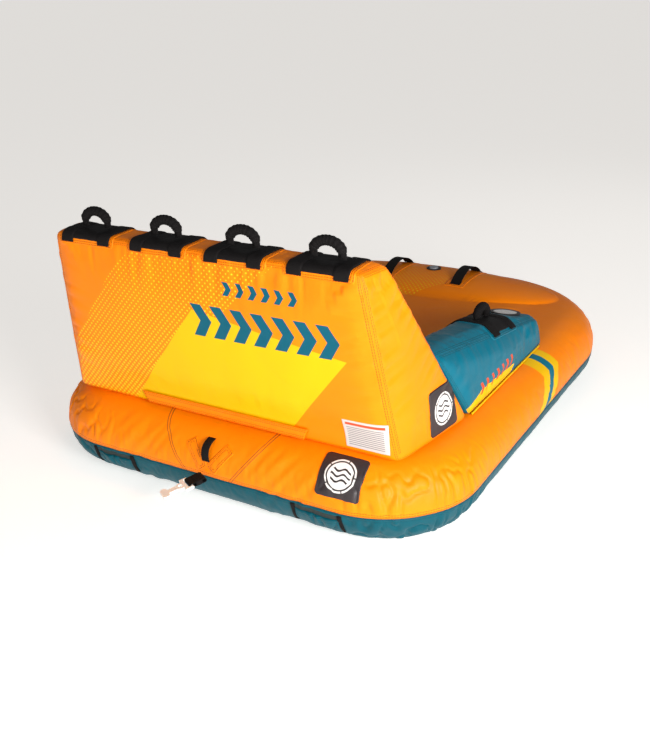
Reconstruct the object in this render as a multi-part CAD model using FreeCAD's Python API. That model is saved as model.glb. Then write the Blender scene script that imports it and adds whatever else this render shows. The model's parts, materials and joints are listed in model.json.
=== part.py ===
"""Two-rider towable tube with a backrest, two armrests, grips and a tow point.

Millimetres, +Z up.  X runs across the tube, -Y is the tow end, +Y the far end.
The origin is on the ground, in the middle of the whole object's box.
"""
import FreeCAD
import Part

import math
import os

V = FreeCAD.Vector
X_AXIS = V(1, 0, 0)
Z_AXIS = V(0, 0, 1)

# ---------------------------------------------------------------- base tube
WIDTH = 1664.0            # over the side tubes
LENGTH = 2120.0           # over the tow end and the far end
TUBE_D = 290.0            # diameter of the inflated ring
TUBE_R = TUBE_D / 2
SEAM_Z = 134.0            # height of the seam between the two covers
TOW_CORNER_R = 195.0      # centre-line radius of the two tow-end corners
FAR_CORNER_R = 430.0      # centre-line radius of the two far corners
SKIN = 2.5                # cover fabric with its lining
FILM = 1.5                # bladder wall
SLACK = 1.0               # bladder to cover
SEWN = 1.5                # how deep a sewn webbing end reaches into a cover

# ------------------------------------------------------------- leg bolster
BOLSTER_HALF_X = 600.0
BOLSTER_HALF_Y = 205.0
BOLSTER_H = 50.0
BOLSTER_FROM_FAR = 355.0  # centre, from the far end

# ---------------------------------------------------------------- backrest
BACK_TOP_HALF = 597.0
BACK_FRONT_HALF = 664.0   # base, at the tow end
BACK_REAR_HALF = 728.0    # base, at the rider side
BACK_H = 623.0            # above the tube's top
BACK_FRONT_BASE_Y = 115.0
BACK_FRONT_TOP_Y = 24.0
BACK_TOP_DEPTH = 136.0
BACK_BASE_DEPTH = 408.0
BACK_ROUND = 26.0

# ---------------------------------------------------------------- armrests
ARM_BASE_IN = 455.0
ARM_BASE_OUT = 722.0
ARM_LEAN = 0.2255         # how far a side leans in per unit of height
ARM_NEAR_H = 267.0        # top above the tube's top, at ARM_NEAR_Y
ARM_NEAR_Y = 400.0
ARM_FAR_H = 113.0
ARM_FAR_Y = 1270.0
ARM_ROUND = 38.0
ARM_GRIP_Y = 930.0

# ------------------------------------------------------ pads, straps, grips
PAD_L = 207.0             # along the grip
PAD_T = 3.5
PAD_DROP = 16.0           # how far a pad wraps down over the edges
STRAP_W = 50.0            # 2 in webbing
STRAP_T = 2.5
STRAP_DROP = 30.0
GRIP_PITCH = 296.0        # between the four backrest grips
GRIP_COUNT = 4
SLEEVE_R = 17.0           # padded sleeve
GRIP_ARCH_R = 48.0        # centre line of the sleeve's arch
GRIP_RISE = 28.0          # arch centre above the webbing
TAB_T = 5.0               # folded webbing tab under each sleeve end
TAB_W = 28.0
GAP = 0.4                 # running gap between moving soft pieces
GRIP_AXIS_Z = TAB_T / 2 + GAP

# --------------------------------------------------------------- tow point
TOW_Z = 144.0
TOW_DROOP = 10.0          # degrees below level
TOW_YAW = 30.0            # degrees to the left of straight out
TOW_PATCH_T = 2.0
V_LEAN = 37.0             # degrees, each leg of the V from upright
V_LEG_W = 44.0
V_LEG_L = 112.0
PULL_FOOT_H = 55.96       # lower end of the pull loop above the seam
PULL_SPAN = 81.26         # between its ends, over the cover
PULL_RISE = 17.0
LOOP_W = 50.0
LOOP_R = 8.0              # outer radius of the folded ends
LOOP_T = 2.5
LOOP_L = 46.0             # between the two fold centres
SLEEVE_WRAP_T = 2.5
HOOK_BAR_R = LOOP_R - LOOP_T - 0.6
HOOK_T = 10.0
HOOK_EYE_R = 8.0
HOOK_HALF_W = 33.0
HOOK_ARM_W = 6.0
HOOK_TIP = 100.0          # bar to the tip of the tongue

# ------------------------------------------------------------------- trims
BADGE = 150.0
BADGE_T = 4.0
FRONT_BADGE_X = 493.0
FRONT_BADGE_TILT = 45.0   # degrees up round the tube
SIDE_BADGE_Y = 366.0
SIDE_BADGE_H = 96.0
LABEL_SIZE = (150.0, 108.0)
LABEL_X = 555.0
LABEL_H = 80.0            # centre, above the tube's top
ZIP_X = 6.0             # centre of the zip and its flap
ZIP_L = 650.0
ZIP_H = 34.0              # tape, above the tube's top
FLAP_L = 680.0
FLAP_H = 44.0
FLAP_T = 2.0
SLIDER = (30.0, 12.0, 4.0)
GRAB_X = 175.0
GRAB_L = 262.0
GRAB_FROM_FAR = 320.0
GRAB_RISE = 34.0
DRAIN_W = 170.0
DRAIN_X = 420.0
ARM_VALVE_R = 58.0
ARM_VALVE_BORE = 46.0
ARM_VALVE_FROM_END = 84.0
DECK_VALVE_R = 34.0
DECK_VALVE_BORE = 22.0
DECK_VALVE_FROM_FAR = 295.0

DECK_Z = TUBE_D
HALF_X = WIDTH / 2 - TUBE_R
NEAR_Y = TUBE_R
FAR_Y = LENGTH - TUBE_R
BOLSTER_Y = LENGTH - BOLSTER_FROM_FAR
BACK_TOP_Z = DECK_Z + BACK_H
# corner centre x, y, radius, first normal in degrees
CORNERS = (
    (HALF_X - TOW_CORNER_R, NEAR_Y + TOW_CORNER_R, TOW_CORNER_R, -90),
    (HALF_X - FAR_CORNER_R, FAR_Y - FAR_CORNER_R, FAR_CORNER_R, 0),
    (-HALF_X + FAR_CORNER_R, FAR_Y - FAR_CORNER_R, FAR_CORNER_R, 90),
    (-HALF_X + TOW_CORNER_R, NEAR_Y + TOW_CORNER_R, TOW_CORNER_R, 180),
)


# ------------------------------------------------------------ small helpers
def box(low, high):
    """Solid box between two corners."""
    size = [b - a for a, b in zip(low, high)]
    return Part.makeBox(*size, V(*low))


def turned_z(shape, degrees, place=(0, 0, 0)):
    """Copy of a shape turned about +Z and then moved to place."""
    copy = shape.copy()
    copy.rotate(V(0, 0, 0), Z_AXIS, degrees)
    copy.translate(V(*place))
    return copy


def mirrored(shape):
    """Left-hand twin of a right-hand shape."""
    return shape.mirror(V(0, 0, 0), X_AXIS)


def polar(radius, degrees, centre=(0.0, TUBE_R)):
    """Point of the section plane, outward and up, as a vector in XZ."""
    angle = math.radians(degrees)
    return V(centre[0] + radius * math.cos(angle), 0, centre[1] + radius * math.sin(angle))


def arc_edge(radius, start, end, centre=(0.0, TUBE_R)):
    """Arc edge of the tube's section between two angles in degrees."""
    points = [polar(radius, a, centre) for a in (start, (start + end) / 2, end)]
    return Part.Arc(*points).toShape()


def band_section(inner, outer, start, end, centre=(0.0, TUBE_R)):
    """Face between two arcs of the tube's section."""
    edges = [
        arc_edge(outer, start, end, centre),
        Part.makeLine(polar(outer, end, centre), polar(inner, end, centre)),
        arc_edge(inner, end, start, centre),
        Part.makeLine(polar(inner, start, centre), polar(outer, start, centre)),
    ]
    return Part.Face(Part.Wire(edges))


def swept_ring(section):
    """Carry a section face round the tube's centre line as one solid."""
    pieces = []
    for corner, following in zip(CORNERS, CORNERS[1:] + CORNERS[:1]):
        x, y, radius, normal = corner
        start = section.copy()
        start.translate(V(radius, 0, 0))
        bend = turned_z(start, normal, (x, y, 0))
        pieces.append(bend.revolve(V(x, y, 0), Z_AXIS, 90))
        angle = math.radians(normal + 90)
        out = V(math.cos(angle), math.sin(angle), 0)
        here = V(x, y, 0) + out * radius
        there = V(following[0], following[1], 0) + out * following[2]
        straight = turned_z(start, normal + 90, (x, y, 0))
        pieces.append(straight.extrude(there - here))
    return pieces[0].fuse(pieces[1:]).removeSplitter()


def outline_prism(inset, low, high):
    """Solid inside the tube's centre line, moved in by inset."""
    edges = []
    for corner, following in zip(CORNERS, CORNERS[1:] + CORNERS[:1]):
        x, y, radius, normal = corner
        spots = []
        for degrees in (normal, normal + 45, normal + 90):
            angle = math.radians(degrees)
            spots.append(V(x, y, low) + V(math.cos(angle), math.sin(angle), 0) * (radius - inset))
        edges.append(Part.Arc(*spots).toShape())
        out = (spots[2] - V(x, y, low)).normalize()
        there = V(following[0], following[1], low) + out * (following[2] - inset)
        edges.append(Part.makeLine(spots[2], there))
    face = Part.Face(Part.Wire(Part.sortEdges(edges)[0]))
    return face.extrude(V(0, 0, high - low))


def meet(planes):
    """Point where three planes, given as (normal, distance), meet."""
    (n1, d1), (n2, d2), (n3, d3) = planes
    return (n2.cross(n3) * d1 + n3.cross(n1) * d2 + n1.cross(n2) * d3) * (1 / n1.dot(n2.cross(n3)))


def plane_through(a, b, c, inside):
    """Unit normal pointing away from inside, and the plane's distance."""
    normal = (b - a).cross(c - a).normalize()
    if normal.dot(inside - a) > 0:
        normal = -normal
    return normal, normal.dot(a)


def block(planes, growth, rounding, sharp, keep=()):
    """Six-sided block, its planes moved out by growth, its edges rounded.

    planes is (bottom, top, front, back, left, right).  The planes in keep
    stay where they are, and edges that lie in a sharp plane stay sharp.
    """
    moved = []
    for index, (normal, distance) in enumerate(planes):
        moved.append((normal, distance if index in keep else distance + growth))
    bottom, top, front, back, left, right = moved
    ring = ((front, left), (front, right), (back, right), (back, left))
    low = [meet((bottom, a, b)) for a, b in ring]
    high = [meet((top, a, b)) for a, b in ring]
    walls = [[low[i], low[(i + 1) % 4], high[(i + 1) % 4], high[i]] for i in range(4)]
    faces = [Part.Face(Part.makePolygon(p + [p[0]])) for p in walls + [low, high]]
    solid = Part.Solid(Part.Shell(faces))
    if solid.Volume < 0:
        solid.reverse()

    def lies_in(edge, index):
        normal, distance = moved[index]
        return max(abs(normal.dot(v.Point) - distance) for v in edge.Vertexes) < 1

    free = [e for e in solid.Edges if not any(lies_in(e, index) for index in sharp)]
    return solid.makeFillet(rounding + growth, free)


def skin_of(outer, inner):
    """Closed shell between an outer and an inner solid."""
    return outer.cut(inner)


# ---------------------------------------------------------------- base tube
def make_base():
    """Both covers and both bladders of the base."""
    seam = math.degrees(math.asin((SEAM_Z - TUBE_R) / TUBE_R))
    upper = swept_ring(band_section(TUBE_R - SKIN, TUBE_R, seam, 90))
    upper = upper.fuse(outline_prism(0, DECK_Z - SKIN, DECK_Z)).removeSplitter()
    lower = swept_ring(band_section(TUBE_R - SKIN, TUBE_R, -90, seam))
    lower = lower.fuse(outline_prism(0, 0, SKIN)).removeSplitter()
    outer = Part.Face(Part.Wire(Part.makeCircle(TUBE_R - SKIN - SLACK, V(0, 0, TUBE_R), V(0, 1, 0))))
    inner = Part.Face(Part.Wire(Part.makeCircle(TUBE_R - SKIN - SLACK - FILM, V(0, 0, TUBE_R), V(0, 1, 0))))
    ring = swept_ring(outer).cut(swept_ring(inner))
    low = SKIN + SLACK
    inset = TUBE_R + SLACK
    floor = outline_prism(inset, low, DECK_Z - low)
    floor = floor.cut(outline_prism(inset + FILM, low + FILM, DECK_Z - low - FILM))
    return {"upper_cover": upper, "lower_cover": lower, "base_bladder": ring, "floor_bladder": floor}


def bolster_cap(shrink, floor_z=DECK_Z):
    """Upper half of the leg bolster's ellipsoid, made smaller by shrink."""
    matrix = FreeCAD.Matrix()
    matrix.scale(BOLSTER_HALF_X - shrink, BOLSTER_HALF_Y - shrink, BOLSTER_H - shrink)
    ball = Part.makeSphere(1.0).transformGeometry(matrix)
    ball.translate(V(0, BOLSTER_Y, DECK_Z))
    reach = BOLSTER_HALF_X + BOLSTER_HALF_Y
    half = box((-reach, BOLSTER_Y - reach, floor_z), (reach, BOLSTER_Y + reach, DECK_Z + reach))
    return ball.common(half)


def make_bolster():
    """Cover and bladder of the leg bolster."""
    cover = bolster_cap(0).cut(bolster_cap(SKIN))
    bladder = bolster_cap(SKIN + SLACK, DECK_Z + SLACK)
    hollow = bolster_cap(SKIN + SLACK + FILM, DECK_Z + SLACK + FILM)
    return {"bolster_cover": cover, "bolster_bladder": bladder.cut(hollow)}


# ------------------------------------------------------ backrest and armrests
def back_planes():
    """The six planes of the backrest."""
    base_back = BACK_FRONT_BASE_Y + BACK_BASE_DEPTH
    top_back = BACK_FRONT_TOP_Y + BACK_TOP_DEPTH
    middle = V(0, (BACK_FRONT_BASE_Y + base_back) / 2, DECK_Z + BACK_H / 3)
    a = V(0, BACK_FRONT_BASE_Y, DECK_Z)
    b = V(0, BACK_FRONT_TOP_Y, BACK_TOP_Z)
    c = V(0, base_back, DECK_Z)
    d = V(0, top_back, BACK_TOP_Z)
    near = V(BACK_FRONT_HALF, BACK_FRONT_BASE_Y, DECK_Z)
    rear = V(BACK_REAR_HALF, base_back, DECK_Z)
    high = V(BACK_TOP_HALF, (BACK_FRONT_TOP_Y + top_back) / 2, BACK_TOP_Z)
    right, reach = plane_through(near, rear, high, middle)
    return (
        (V(0, 0, -1), -DECK_Z),
        (V(0, 0, 1), BACK_TOP_Z),
        plane_through(a, b, a + X_AXIS, middle),
        plane_through(c, d, c + X_AXIS, middle),
        (V(-right.x, right.y, right.z), reach),
        (right, reach),
    )


BACK_PLANES = back_planes()


def arm_height(y):
    """Height of the armrest's top above the tube's top."""
    share = (y - ARM_NEAR_Y) / (ARM_FAR_Y - ARM_NEAR_Y)
    return ARM_NEAR_H + share * (ARM_FAR_H - ARM_NEAR_H)


def arm_planes():
    """The six planes of the right armrest, which starts on the backrest's back face."""
    middle = V((ARM_BASE_IN + ARM_BASE_OUT) / 2, (ARM_NEAR_Y + ARM_FAR_Y) / 2, DECK_Z + ARM_FAR_H / 2)
    near = V(0, ARM_NEAR_Y, DECK_Z + ARM_NEAR_H)
    normal, distance = BACK_PLANES[3]
    far = V(0, ARM_FAR_Y, DECK_Z + ARM_FAR_H)
    low_in = V(ARM_BASE_IN, 0, DECK_Z)
    low_out = V(ARM_BASE_OUT, 0, DECK_Z)
    along = V(0, 1, 0)
    return (
        (V(0, 0, -1), -DECK_Z),
        plane_through(near, far, near + X_AXIS, middle),
        (-normal, -distance),
        (V(0, 1, 0), ARM_FAR_Y),
        plane_through(low_in, low_in + V(ARM_LEAN, 0, 1), low_in + along, middle),
        plane_through(low_out, low_out + V(-ARM_LEAN, 0, 1), low_out + along, middle),
    )




ARM_PLANES = arm_planes()


def back_block(growth, keep=(0,)):
    """The backrest's outer block, grown or shrunk."""
    return block(BACK_PLANES, growth, BACK_ROUND, (0,), keep)


def arm_block(growth, keep=(0, 2)):
    """The right armrest's block, grown or shrunk."""
    return block(ARM_PLANES, growth, ARM_ROUND, (0, 2), keep)


def make_backrest():
    """Cover and bladder of the backrest."""
    cover = skin_of(back_block(0), back_block(-SKIN, ()))
    inset = SKIN + SLACK
    bladder = skin_of(back_block(-inset, ()), back_block(-inset - FILM, ()))
    return {"backrest_cover": cover, "backrest_bladder": bladder}


def make_armrests():
    """Cover and bladder of each armrest."""
    cover = skin_of(arm_block(0), arm_block(-SKIN, ()))
    inset = SKIN + SLACK
    bladder = skin_of(arm_block(-inset, ()), arm_block(-inset - FILM, ()))
    return {
        "right_armrest_cover": cover,
        "right_armrest_bladder": bladder,
        "left_armrest_cover": mirrored(cover),
        "left_armrest_bladder": mirrored(bladder),
    }


# ------------------------------------------------------------ grip stations
def grip_shape():
    """Padded arch grip on two webbing tabs, along X, standing on z = 0."""
    arch = Part.makeTorus(GRIP_ARCH_R, SLEEVE_R, V(0, 0, GRIP_RISE), V(0, 1, 0))
    reach = GRIP_ARCH_R + SLEEVE_R
    arch = arch.common(box((-reach, -SLEEVE_R, GRIP_RISE), (reach, SLEEVE_R, GRIP_RISE + reach)))
    for side in (-1, 1):
        left = side * GRIP_ARCH_R - TAB_W / 2
        tab = box((left, -TAB_T / 2, GRIP_AXIS_Z), (left + TAB_W, TAB_T / 2, GRIP_RISE))
        fold = Part.makeCylinder(TAB_T / 2, TAB_W, V(left, 0, GRIP_AXIS_Z), X_AXIS)
        arch = arch.fuse([tab, fold])
    return arch.removeSplitter()


def station(grow, middle, along, up, name):
    """Pad, two cross straps and grip on a block's top.

    grow gives the block for a growth, middle is the station's centre on the
    top face, along is the grip's direction and up is the face's normal.
    """
    across = up.cross(along)
    place = FreeCAD.Placement(middle, FreeCAD.Rotation(along, across, up, "XYZ"))

    def window(low, high, drop):
        wide = BACK_TOP_DEPTH + ARM_BASE_OUT - ARM_BASE_IN
        shape = box((low, -wide, -drop), (high, wide, PAD_T + STRAP_T + ARM_ROUND))
        shape.Placement = place
        return shape

    body = grow(0)
    padded = grow(PAD_T)
    pad = padded.common(window(-PAD_L / 2, PAD_L / 2, PAD_DROP)).cut(body)
    straps = []
    over = grow(PAD_T + STRAP_T)
    for low in (-PAD_L / 2, PAD_L / 2 - STRAP_W):
        strap = over.common(window(low, low + STRAP_W, STRAP_DROP)).cut(body)
        straps.append(strap.cut(pad))
    grip = grip_shape()
    grip.translate(V(0, 0, PAD_T + STRAP_T))
    grip.Placement = place.multiply(grip.Placement)
    return {
        name + "_pad": pad,
        name + "_straps": Part.makeCompound(straps),
        name + "_grip": grip,
    }


def make_stations():
    """Four stations on the backrest and one on each armrest."""
    parts = {}
    top_y = BACK_FRONT_TOP_Y + BACK_TOP_DEPTH / 2
    for index in range(GRIP_COUNT):
        x = (index - (GRIP_COUNT - 1) / 2) * GRIP_PITCH
        middle = V(x, top_y, BACK_TOP_Z)
        parts.update(station(back_block, middle, X_AXIS, Z_AXIS, "back_%d" % (index + 1)))
    normal = ARM_PLANES[1][0]
    middle = arm_top_point(ARM_GRIP_Y)
    along = X_AXIS.cross(normal)
    right = station(arm_block, middle, -along, normal, "right_arm")
    parts.update(right)
    for name, shape in right.items():
        parts[name.replace("right", "left")] = mirrored(shape)
    return parts


def arm_top_point(y):
    """Point on the middle of the right armrest's top."""
    height = arm_height(y)
    return V((ARM_BASE_IN + ARM_BASE_OUT) / 2, y, DECK_Z + height)


# --------------------------------------------------------------- tow point
def front_patch(inner, outer, start, end):
    """Strip of the base ring's surface between two angles."""
    return swept_ring(band_section(inner, outer, start, end))


def rounded_prism(width, height, corner, depth):
    """Rounded rectangle centred on the origin in XY, extruded along +Z."""
    solid = box((-width / 2, -height / 2, 0), (width / 2, height / 2, depth))
    upright = [e for e in solid.Edges if abs(e.Vertexes[0].Z - e.Vertexes[1].Z) > 1e-6]
    return solid.makeFillet(corner, upright)


def arch_band(start, crown, end, thickness, width):
    """Flat webbing bent in an arc through three YZ points, centred on crown.x."""
    circle = Part.Arc(start, crown, end).toShape()
    centre = circle.Curve.Center
    radius = circle.Curve.Radius
    grown = []
    for point in (start, crown, end):
        grown.append(centre + (point - centre) * ((radius + thickness) / radius))
    edges = [
        circle,
        Part.makeLine(end, grown[2]),
        Part.Arc(grown[2], grown[1], grown[0]).toShape(),
        Part.makeLine(grown[0], start),
    ]
    face = Part.Face(Part.Wire(edges))
    face.translate(V(-width / 2, 0, 0))
    return face.extrude(V(width, 0, 0))


def tow_frame(shape):
    """Move a shape from the tow line's frame, +Y outward, to its place."""
    copy = shape.copy()
    copy.rotate(V(0, 0, 0), Z_AXIS, 180)
    copy.rotate(V(0, 0, 0), X_AXIS, TOW_DROOP)
    copy.rotate(V(0, 0, 0), Z_AXIS, -TOW_YAW)
    copy.translate(tow_pivot())
    return copy


def tow_pivot():
    """Centre of the tow loop's inner fold."""
    skew = LOOP_W / 2 * math.sin(math.radians(TOW_YAW))
    return V(0, -(TOW_PATCH_T + LOOP_R + GAP + skew), TOW_Z)


def make_tow_point():
    """Reinforcement, pull loop, folded tow loop, its sleeve and the hook."""
    skin = front_patch(TUBE_R, TUBE_R + TOW_PATCH_T, 2, 66)
    legs = []
    for lean in (-V_LEAN, V_LEAN):
        leg = box((-V_LEG_W / 2, -TUBE_R, 0), (V_LEG_W / 2, TUBE_R, V_LEG_L))
        leg.rotate(V(0, 0, 0), V(0, 1, 0), lean)
        leg.translate(V(0, 0, SEAM_Z + V_LEG_W / 2))
        legs.append(leg)
    patch = skin.common(legs[0].fuse(legs[1]))
    near = TUBE_R + TOW_PATCH_T - SEWN
    pull = []
    foot = math.asin((SEAM_Z + PULL_FOOT_H - TUBE_R) / near)
    span = PULL_SPAN / near
    for radius, angle in ((near, foot), (near + PULL_RISE, foot + span / 2), (near, foot + span)):
        pull.append(V(0, TUBE_R - radius * math.cos(angle), TUBE_R + radius * math.sin(angle)))
    pull_loop = arch_band(pull[0], pull[1], pull[2], STRAP_T, 30)

    def stadium(radius, half_width):
        sides = box((-half_width, 0, -radius), (half_width, LOOP_L, radius))
        ends = []
        for y in (0, LOOP_L):
            ends.append(Part.makeCylinder(radius, 2 * half_width, V(-half_width, y, 0), X_AXIS))
        return sides.fuse(ends).removeSplitter()

    loop = stadium(LOOP_R, LOOP_W / 2).cut(stadium(LOOP_R - LOOP_T, LOOP_W))
    wrap_y = (LOOP_R, LOOP_L - 2 * LOOP_R)
    wrap_x = LOOP_W / 2 + SLEEVE_WRAP_T
    wrap_z = LOOP_R + SLEEVE_WRAP_T
    wrap = box((-wrap_x, wrap_y[0], -wrap_z), (wrap_x, wrap_y[1], wrap_z))
    wrap = wrap.cut(box((-LOOP_W / 2, 0, -LOOP_R), (LOOP_W / 2, LOOP_L, LOOP_R)))
    hook = hook_shape()
    hook.translate(V(0, LOOP_L, 0))
    return {
        "tow_patch": patch,
        "pull_loop": pull_loop,
        "tow_loop": tow_frame(loop),
        "tow_sleeve": tow_frame(wrap),
        "quick_hook": tow_frame(hook),
    }


def hook_shape():
    """Plastic quick hook: rear bar on the X axis, eye and T tongue along +Y."""
    bar = Part.makeCylinder(HOOK_BAR_R, 2 * HOOK_HALF_W, V(-HOOK_HALF_W, 0, 0), X_AXIS)
    slot_end = LOOP_R + 4
    pieces = []
    for side in (-1, 1):
        edge = side * (HOOK_HALF_W - HOOK_ARM_W / 2)
        low = edge - HOOK_ARM_W / 2
        pieces.append(box((low, 0, -HOOK_T / 2), (low + HOOK_ARM_W, slot_end, HOOK_T / 2)))
        knuckle = Part.makeCylinder(HOOK_T / 2, HOOK_ARM_W, V(low, 0, 0), X_AXIS)
        pieces.append(knuckle)
    pieces.append(box((-HOOK_HALF_W, slot_end, -HOOK_T / 2), (HOOK_HALF_W, slot_end + 12, HOOK_T / 2)))
    eye_y = slot_end + 12 + HOOK_EYE_R
    eye_boss = Part.makeCylinder(HOOK_EYE_R + 9, HOOK_T, V(0, eye_y, -HOOK_T / 2))
    pieces.append(eye_boss)
    neck = box((-11, eye_y, -HOOK_T / 2), (11, HOOK_TIP - 12, HOOK_T / 2))
    pieces.append(neck)
    tongue = rounded_prism(52, 24, 11, HOOK_T)
    tongue.translate(V(0, HOOK_TIP - 12, -HOOK_T / 2))
    pieces.append(tongue)
    hook = bar.fuse(pieces).removeSplitter()
    return hook.cut(Part.makeCylinder(HOOK_EYE_R, HOOK_T * 2, V(0, eye_y, -HOOK_T)))


# ------------------------------------------------------------------- trims
def on_plane(shape, middle, normal, upward):
    """Place a shape drawn in XY with +Z out of the plane, +Y up the plane."""
    up = (upward - normal * upward.dot(normal)).normalize()
    side = up.cross(normal)
    copy = shape.copy()
    copy.Placement = FreeCAD.Placement(middle, FreeCAD.Rotation(side, up, normal, "XYZ"))
    return copy


def back_front_point(x, height):
    """Point on the backrest's front face, height above the tube's top."""
    share = height / BACK_H
    y = BACK_FRONT_BASE_Y + share * (BACK_FRONT_TOP_Y - BACK_FRONT_BASE_Y)
    return V(x, y, DECK_Z + height)


def make_badges():
    """Two badges on the backrest's ends and one on the tow-end tube."""
    right = BACK_PLANES[5][0]
    level = (Z_AXIS, DECK_Z + SIDE_BADGE_H)
    middle = meet((BACK_PLANES[5], (V(0, 1, 0), SIDE_BADGE_Y), level))
    side = on_plane(rounded_prism(BADGE, BADGE, 20, BADGE_T), middle, right, Z_AXIS)
    skin = front_patch(TUBE_R, TUBE_R + BADGE_T, 5, 75)
    tool = rounded_prism(BADGE, BADGE, 20, TUBE_D)
    tilt = math.radians(FRONT_BADGE_TILT)
    out = V(0, -math.cos(tilt), math.sin(tilt))
    core = V(FRONT_BADGE_X, TUBE_R, TUBE_R)
    front = skin.common(on_plane(tool, core, out, Z_AXIS))
    return {"right_badge": side, "left_badge": mirrored(side), "front_badge": front}


def make_face_trims():
    """Care label, zip tape, slider and flap on the backrest's front face."""
    normal = BACK_PLANES[2][0]
    label = rounded_prism(LABEL_SIZE[0], LABEL_SIZE[1], 4, 1)
    label = on_plane(label, back_front_point(LABEL_X, LABEL_H), normal, Z_AXIS)
    tape = box((-ZIP_L / 2, -12, 0), (ZIP_L / 2, 12, FILM))
    tape = on_plane(tape, back_front_point(ZIP_X, ZIP_H), normal, Z_AXIS)
    start = back_front_point(ZIP_X - ZIP_L / 2 + SLIDER[0], ZIP_H)
    slider = box((-SLIDER[0] / 2, -SLIDER[1] / 2, FILM + GAP), (SLIDER[0] / 2, SLIDER[1] / 2, FILM + SLIDER[2]))
    slider = on_plane(slider, start, normal, Z_AXIS)
    clear = FILM + SLIDER[2] + GAP
    flap = box((-FLAP_L / 2, 0, clear), (FLAP_L / 2, FLAP_H, clear + FLAP_T))
    flap = on_plane(flap, back_front_point(ZIP_X, ZIP_H - FLAP_H / 2), normal, Z_AXIS)
    return {"care_label": label, "zip_tape": tape, "zip_slider": slider, "zip_flap": flap}


def make_drains():
    """Drain mesh, gathered flap and bindings on the lower cover, both sides."""
    parts = {}
    for side, x in (("left", -DRAIN_X), ("right", DRAIN_X)):
        def strip(inner, outer, start, end, half):
            window = box((x - half, -TUBE_R, 0), (x + half, TUBE_R, TUBE_R))
            return front_patch(TUBE_R + inner, TUBE_R + outer, start, end).common(window)

        parts[side + "_drain_mesh"] = strip(0, 1.2, -34, -9, DRAIN_W / 2)
        parts[side + "_drain_flap"] = strip(1.5, 3.5, -38, -14, DRAIN_W / 2 - 2)
        full = strip(1.2, 5.5, -40, -8, DRAIN_W / 2 + 8)
        parts[side + "_drain_binding"] = full.cut(strip(0, 9, -60, 0, DRAIN_W / 2 - 2))
    return parts


def bolster_z(x, y):
    """Height of the leg bolster's surface."""
    rest = 1 - (x / BOLSTER_HALF_X) ** 2 - ((y - BOLSTER_Y) / BOLSTER_HALF_Y) ** 2
    return DECK_Z + BOLSTER_H * math.sqrt(rest)


def make_deck_fittings():
    """Grab straps, their patches and the deck valve on the leg bolster."""
    parts = {}
    grown = bolster_cap(-2)
    body = bolster_cap(0)
    middle = LENGTH - GRAB_FROM_FAR
    for side, sign in (("right", 1), ("left", -1)):
        x = sign * GRAB_X
        ends = []
        for y in (middle - GRAB_L / 2, middle + GRAB_L / 2):
            ends.append(V(x, y, bolster_z(x, y) + 2 - SEWN))
        crown = V(x, middle, bolster_z(x, middle) + GRAB_RISE)
        parts[side + "_grab_strap"] = arch_band(ends[0], crown, ends[1], STRAP_T, STRAP_W)
        half_x = STRAP_W / 2 + 22
        half_y = GRAB_L / 2 + 24
        window = box((x - half_x, middle - half_y, DECK_Z), (x + half_x, middle + half_y, DECK_Z + TUBE_R))
        parts[side + "_grab_patch"] = grown.common(window).cut(body)
    y = LENGTH - DECK_VALVE_FROM_FAR
    top = bolster_z(0, y) + 8
    ring = Part.makeCylinder(DECK_VALVE_R, 30, V(0, y, top - 30))
    ring = ring.cut(body).cut(Part.makeCylinder(DECK_VALVE_BORE, 40, V(0, y, top - 35)))
    cap = Part.makeCylinder(DECK_VALVE_BORE - 1, 12, V(0, y, top - 7 + GAP))
    parts["deck_valve_ring"] = ring
    parts["deck_valve_cap"] = cap
    return parts


def make_arm_valves():
    """Black ring and pale cap at the far end of each armrest's top."""
    normal = ARM_PLANES[1][0]
    middle = arm_top_point(ARM_FAR_Y - ARM_VALVE_FROM_END)
    ring = Part.makeCylinder(ARM_VALVE_R, 6).cut(Part.makeCylinder(ARM_VALVE_BORE, 6))
    ring = on_plane(ring, middle, normal, V(0, 1, 0))
    cap = Part.makeCylinder(ARM_VALVE_BORE - 1, 5, V(0, 0, GAP))
    cap = on_plane(cap, middle, normal, V(0, 1, 0))
    return {
        "right_valve_ring": ring,
        "right_valve_cap": cap,
        "left_valve_ring": mirrored(ring),
        "left_valve_cap": mirrored(cap),
    }


def main():
    """Build every node, centre the object and write the STEP files."""
    nodes = {}
    for maker in (make_base, make_bolster, make_backrest, make_armrests, make_stations,
                  make_tow_point, make_badges, make_face_trims, make_drains,
                  make_deck_fittings, make_arm_valves):
        nodes.update(maker())
    hook_tip = nodes["quick_hook"].optimalBoundingBox(False, False).YMin
    shift = V(0, -(hook_tip + LENGTH) / 2, 0)
    os.makedirs("parts", exist_ok=True)
    for name, shape in nodes.items():
        shape.translate(shift)
        shape.exportStep("parts/%s.step" % name)
        solids = len(shape.Solids)
        print("%-24s solids %d valid %s volume %.0f" % (name, solids, shape.isValid(), shape.Volume))
    box_all = Part.makeCompound(list(nodes.values())).optimalBoundingBox(False, False)
    print("shift y %.3f" % shift.y, "box", box_all)
    print("tow pivot", tow_pivot() + shift, "nodes", len(nodes))


main()
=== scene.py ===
"""Looks of a two-rider towable tube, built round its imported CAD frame.

Lengths are metres in the frame of the CAD part: +X is the rider's right, -Y the
tow end and Z = 0 the water side that rests on the floor.
"""

from __future__ import annotations

import json
import logging
import math
from dataclasses import dataclass
from enum import Enum
from typing import Callable, Sequence

import bmesh
import bpy
import numpy as np
from mathutils import Matrix, Vector, noise
from mathutils.bvhtree import BVHTree

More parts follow.
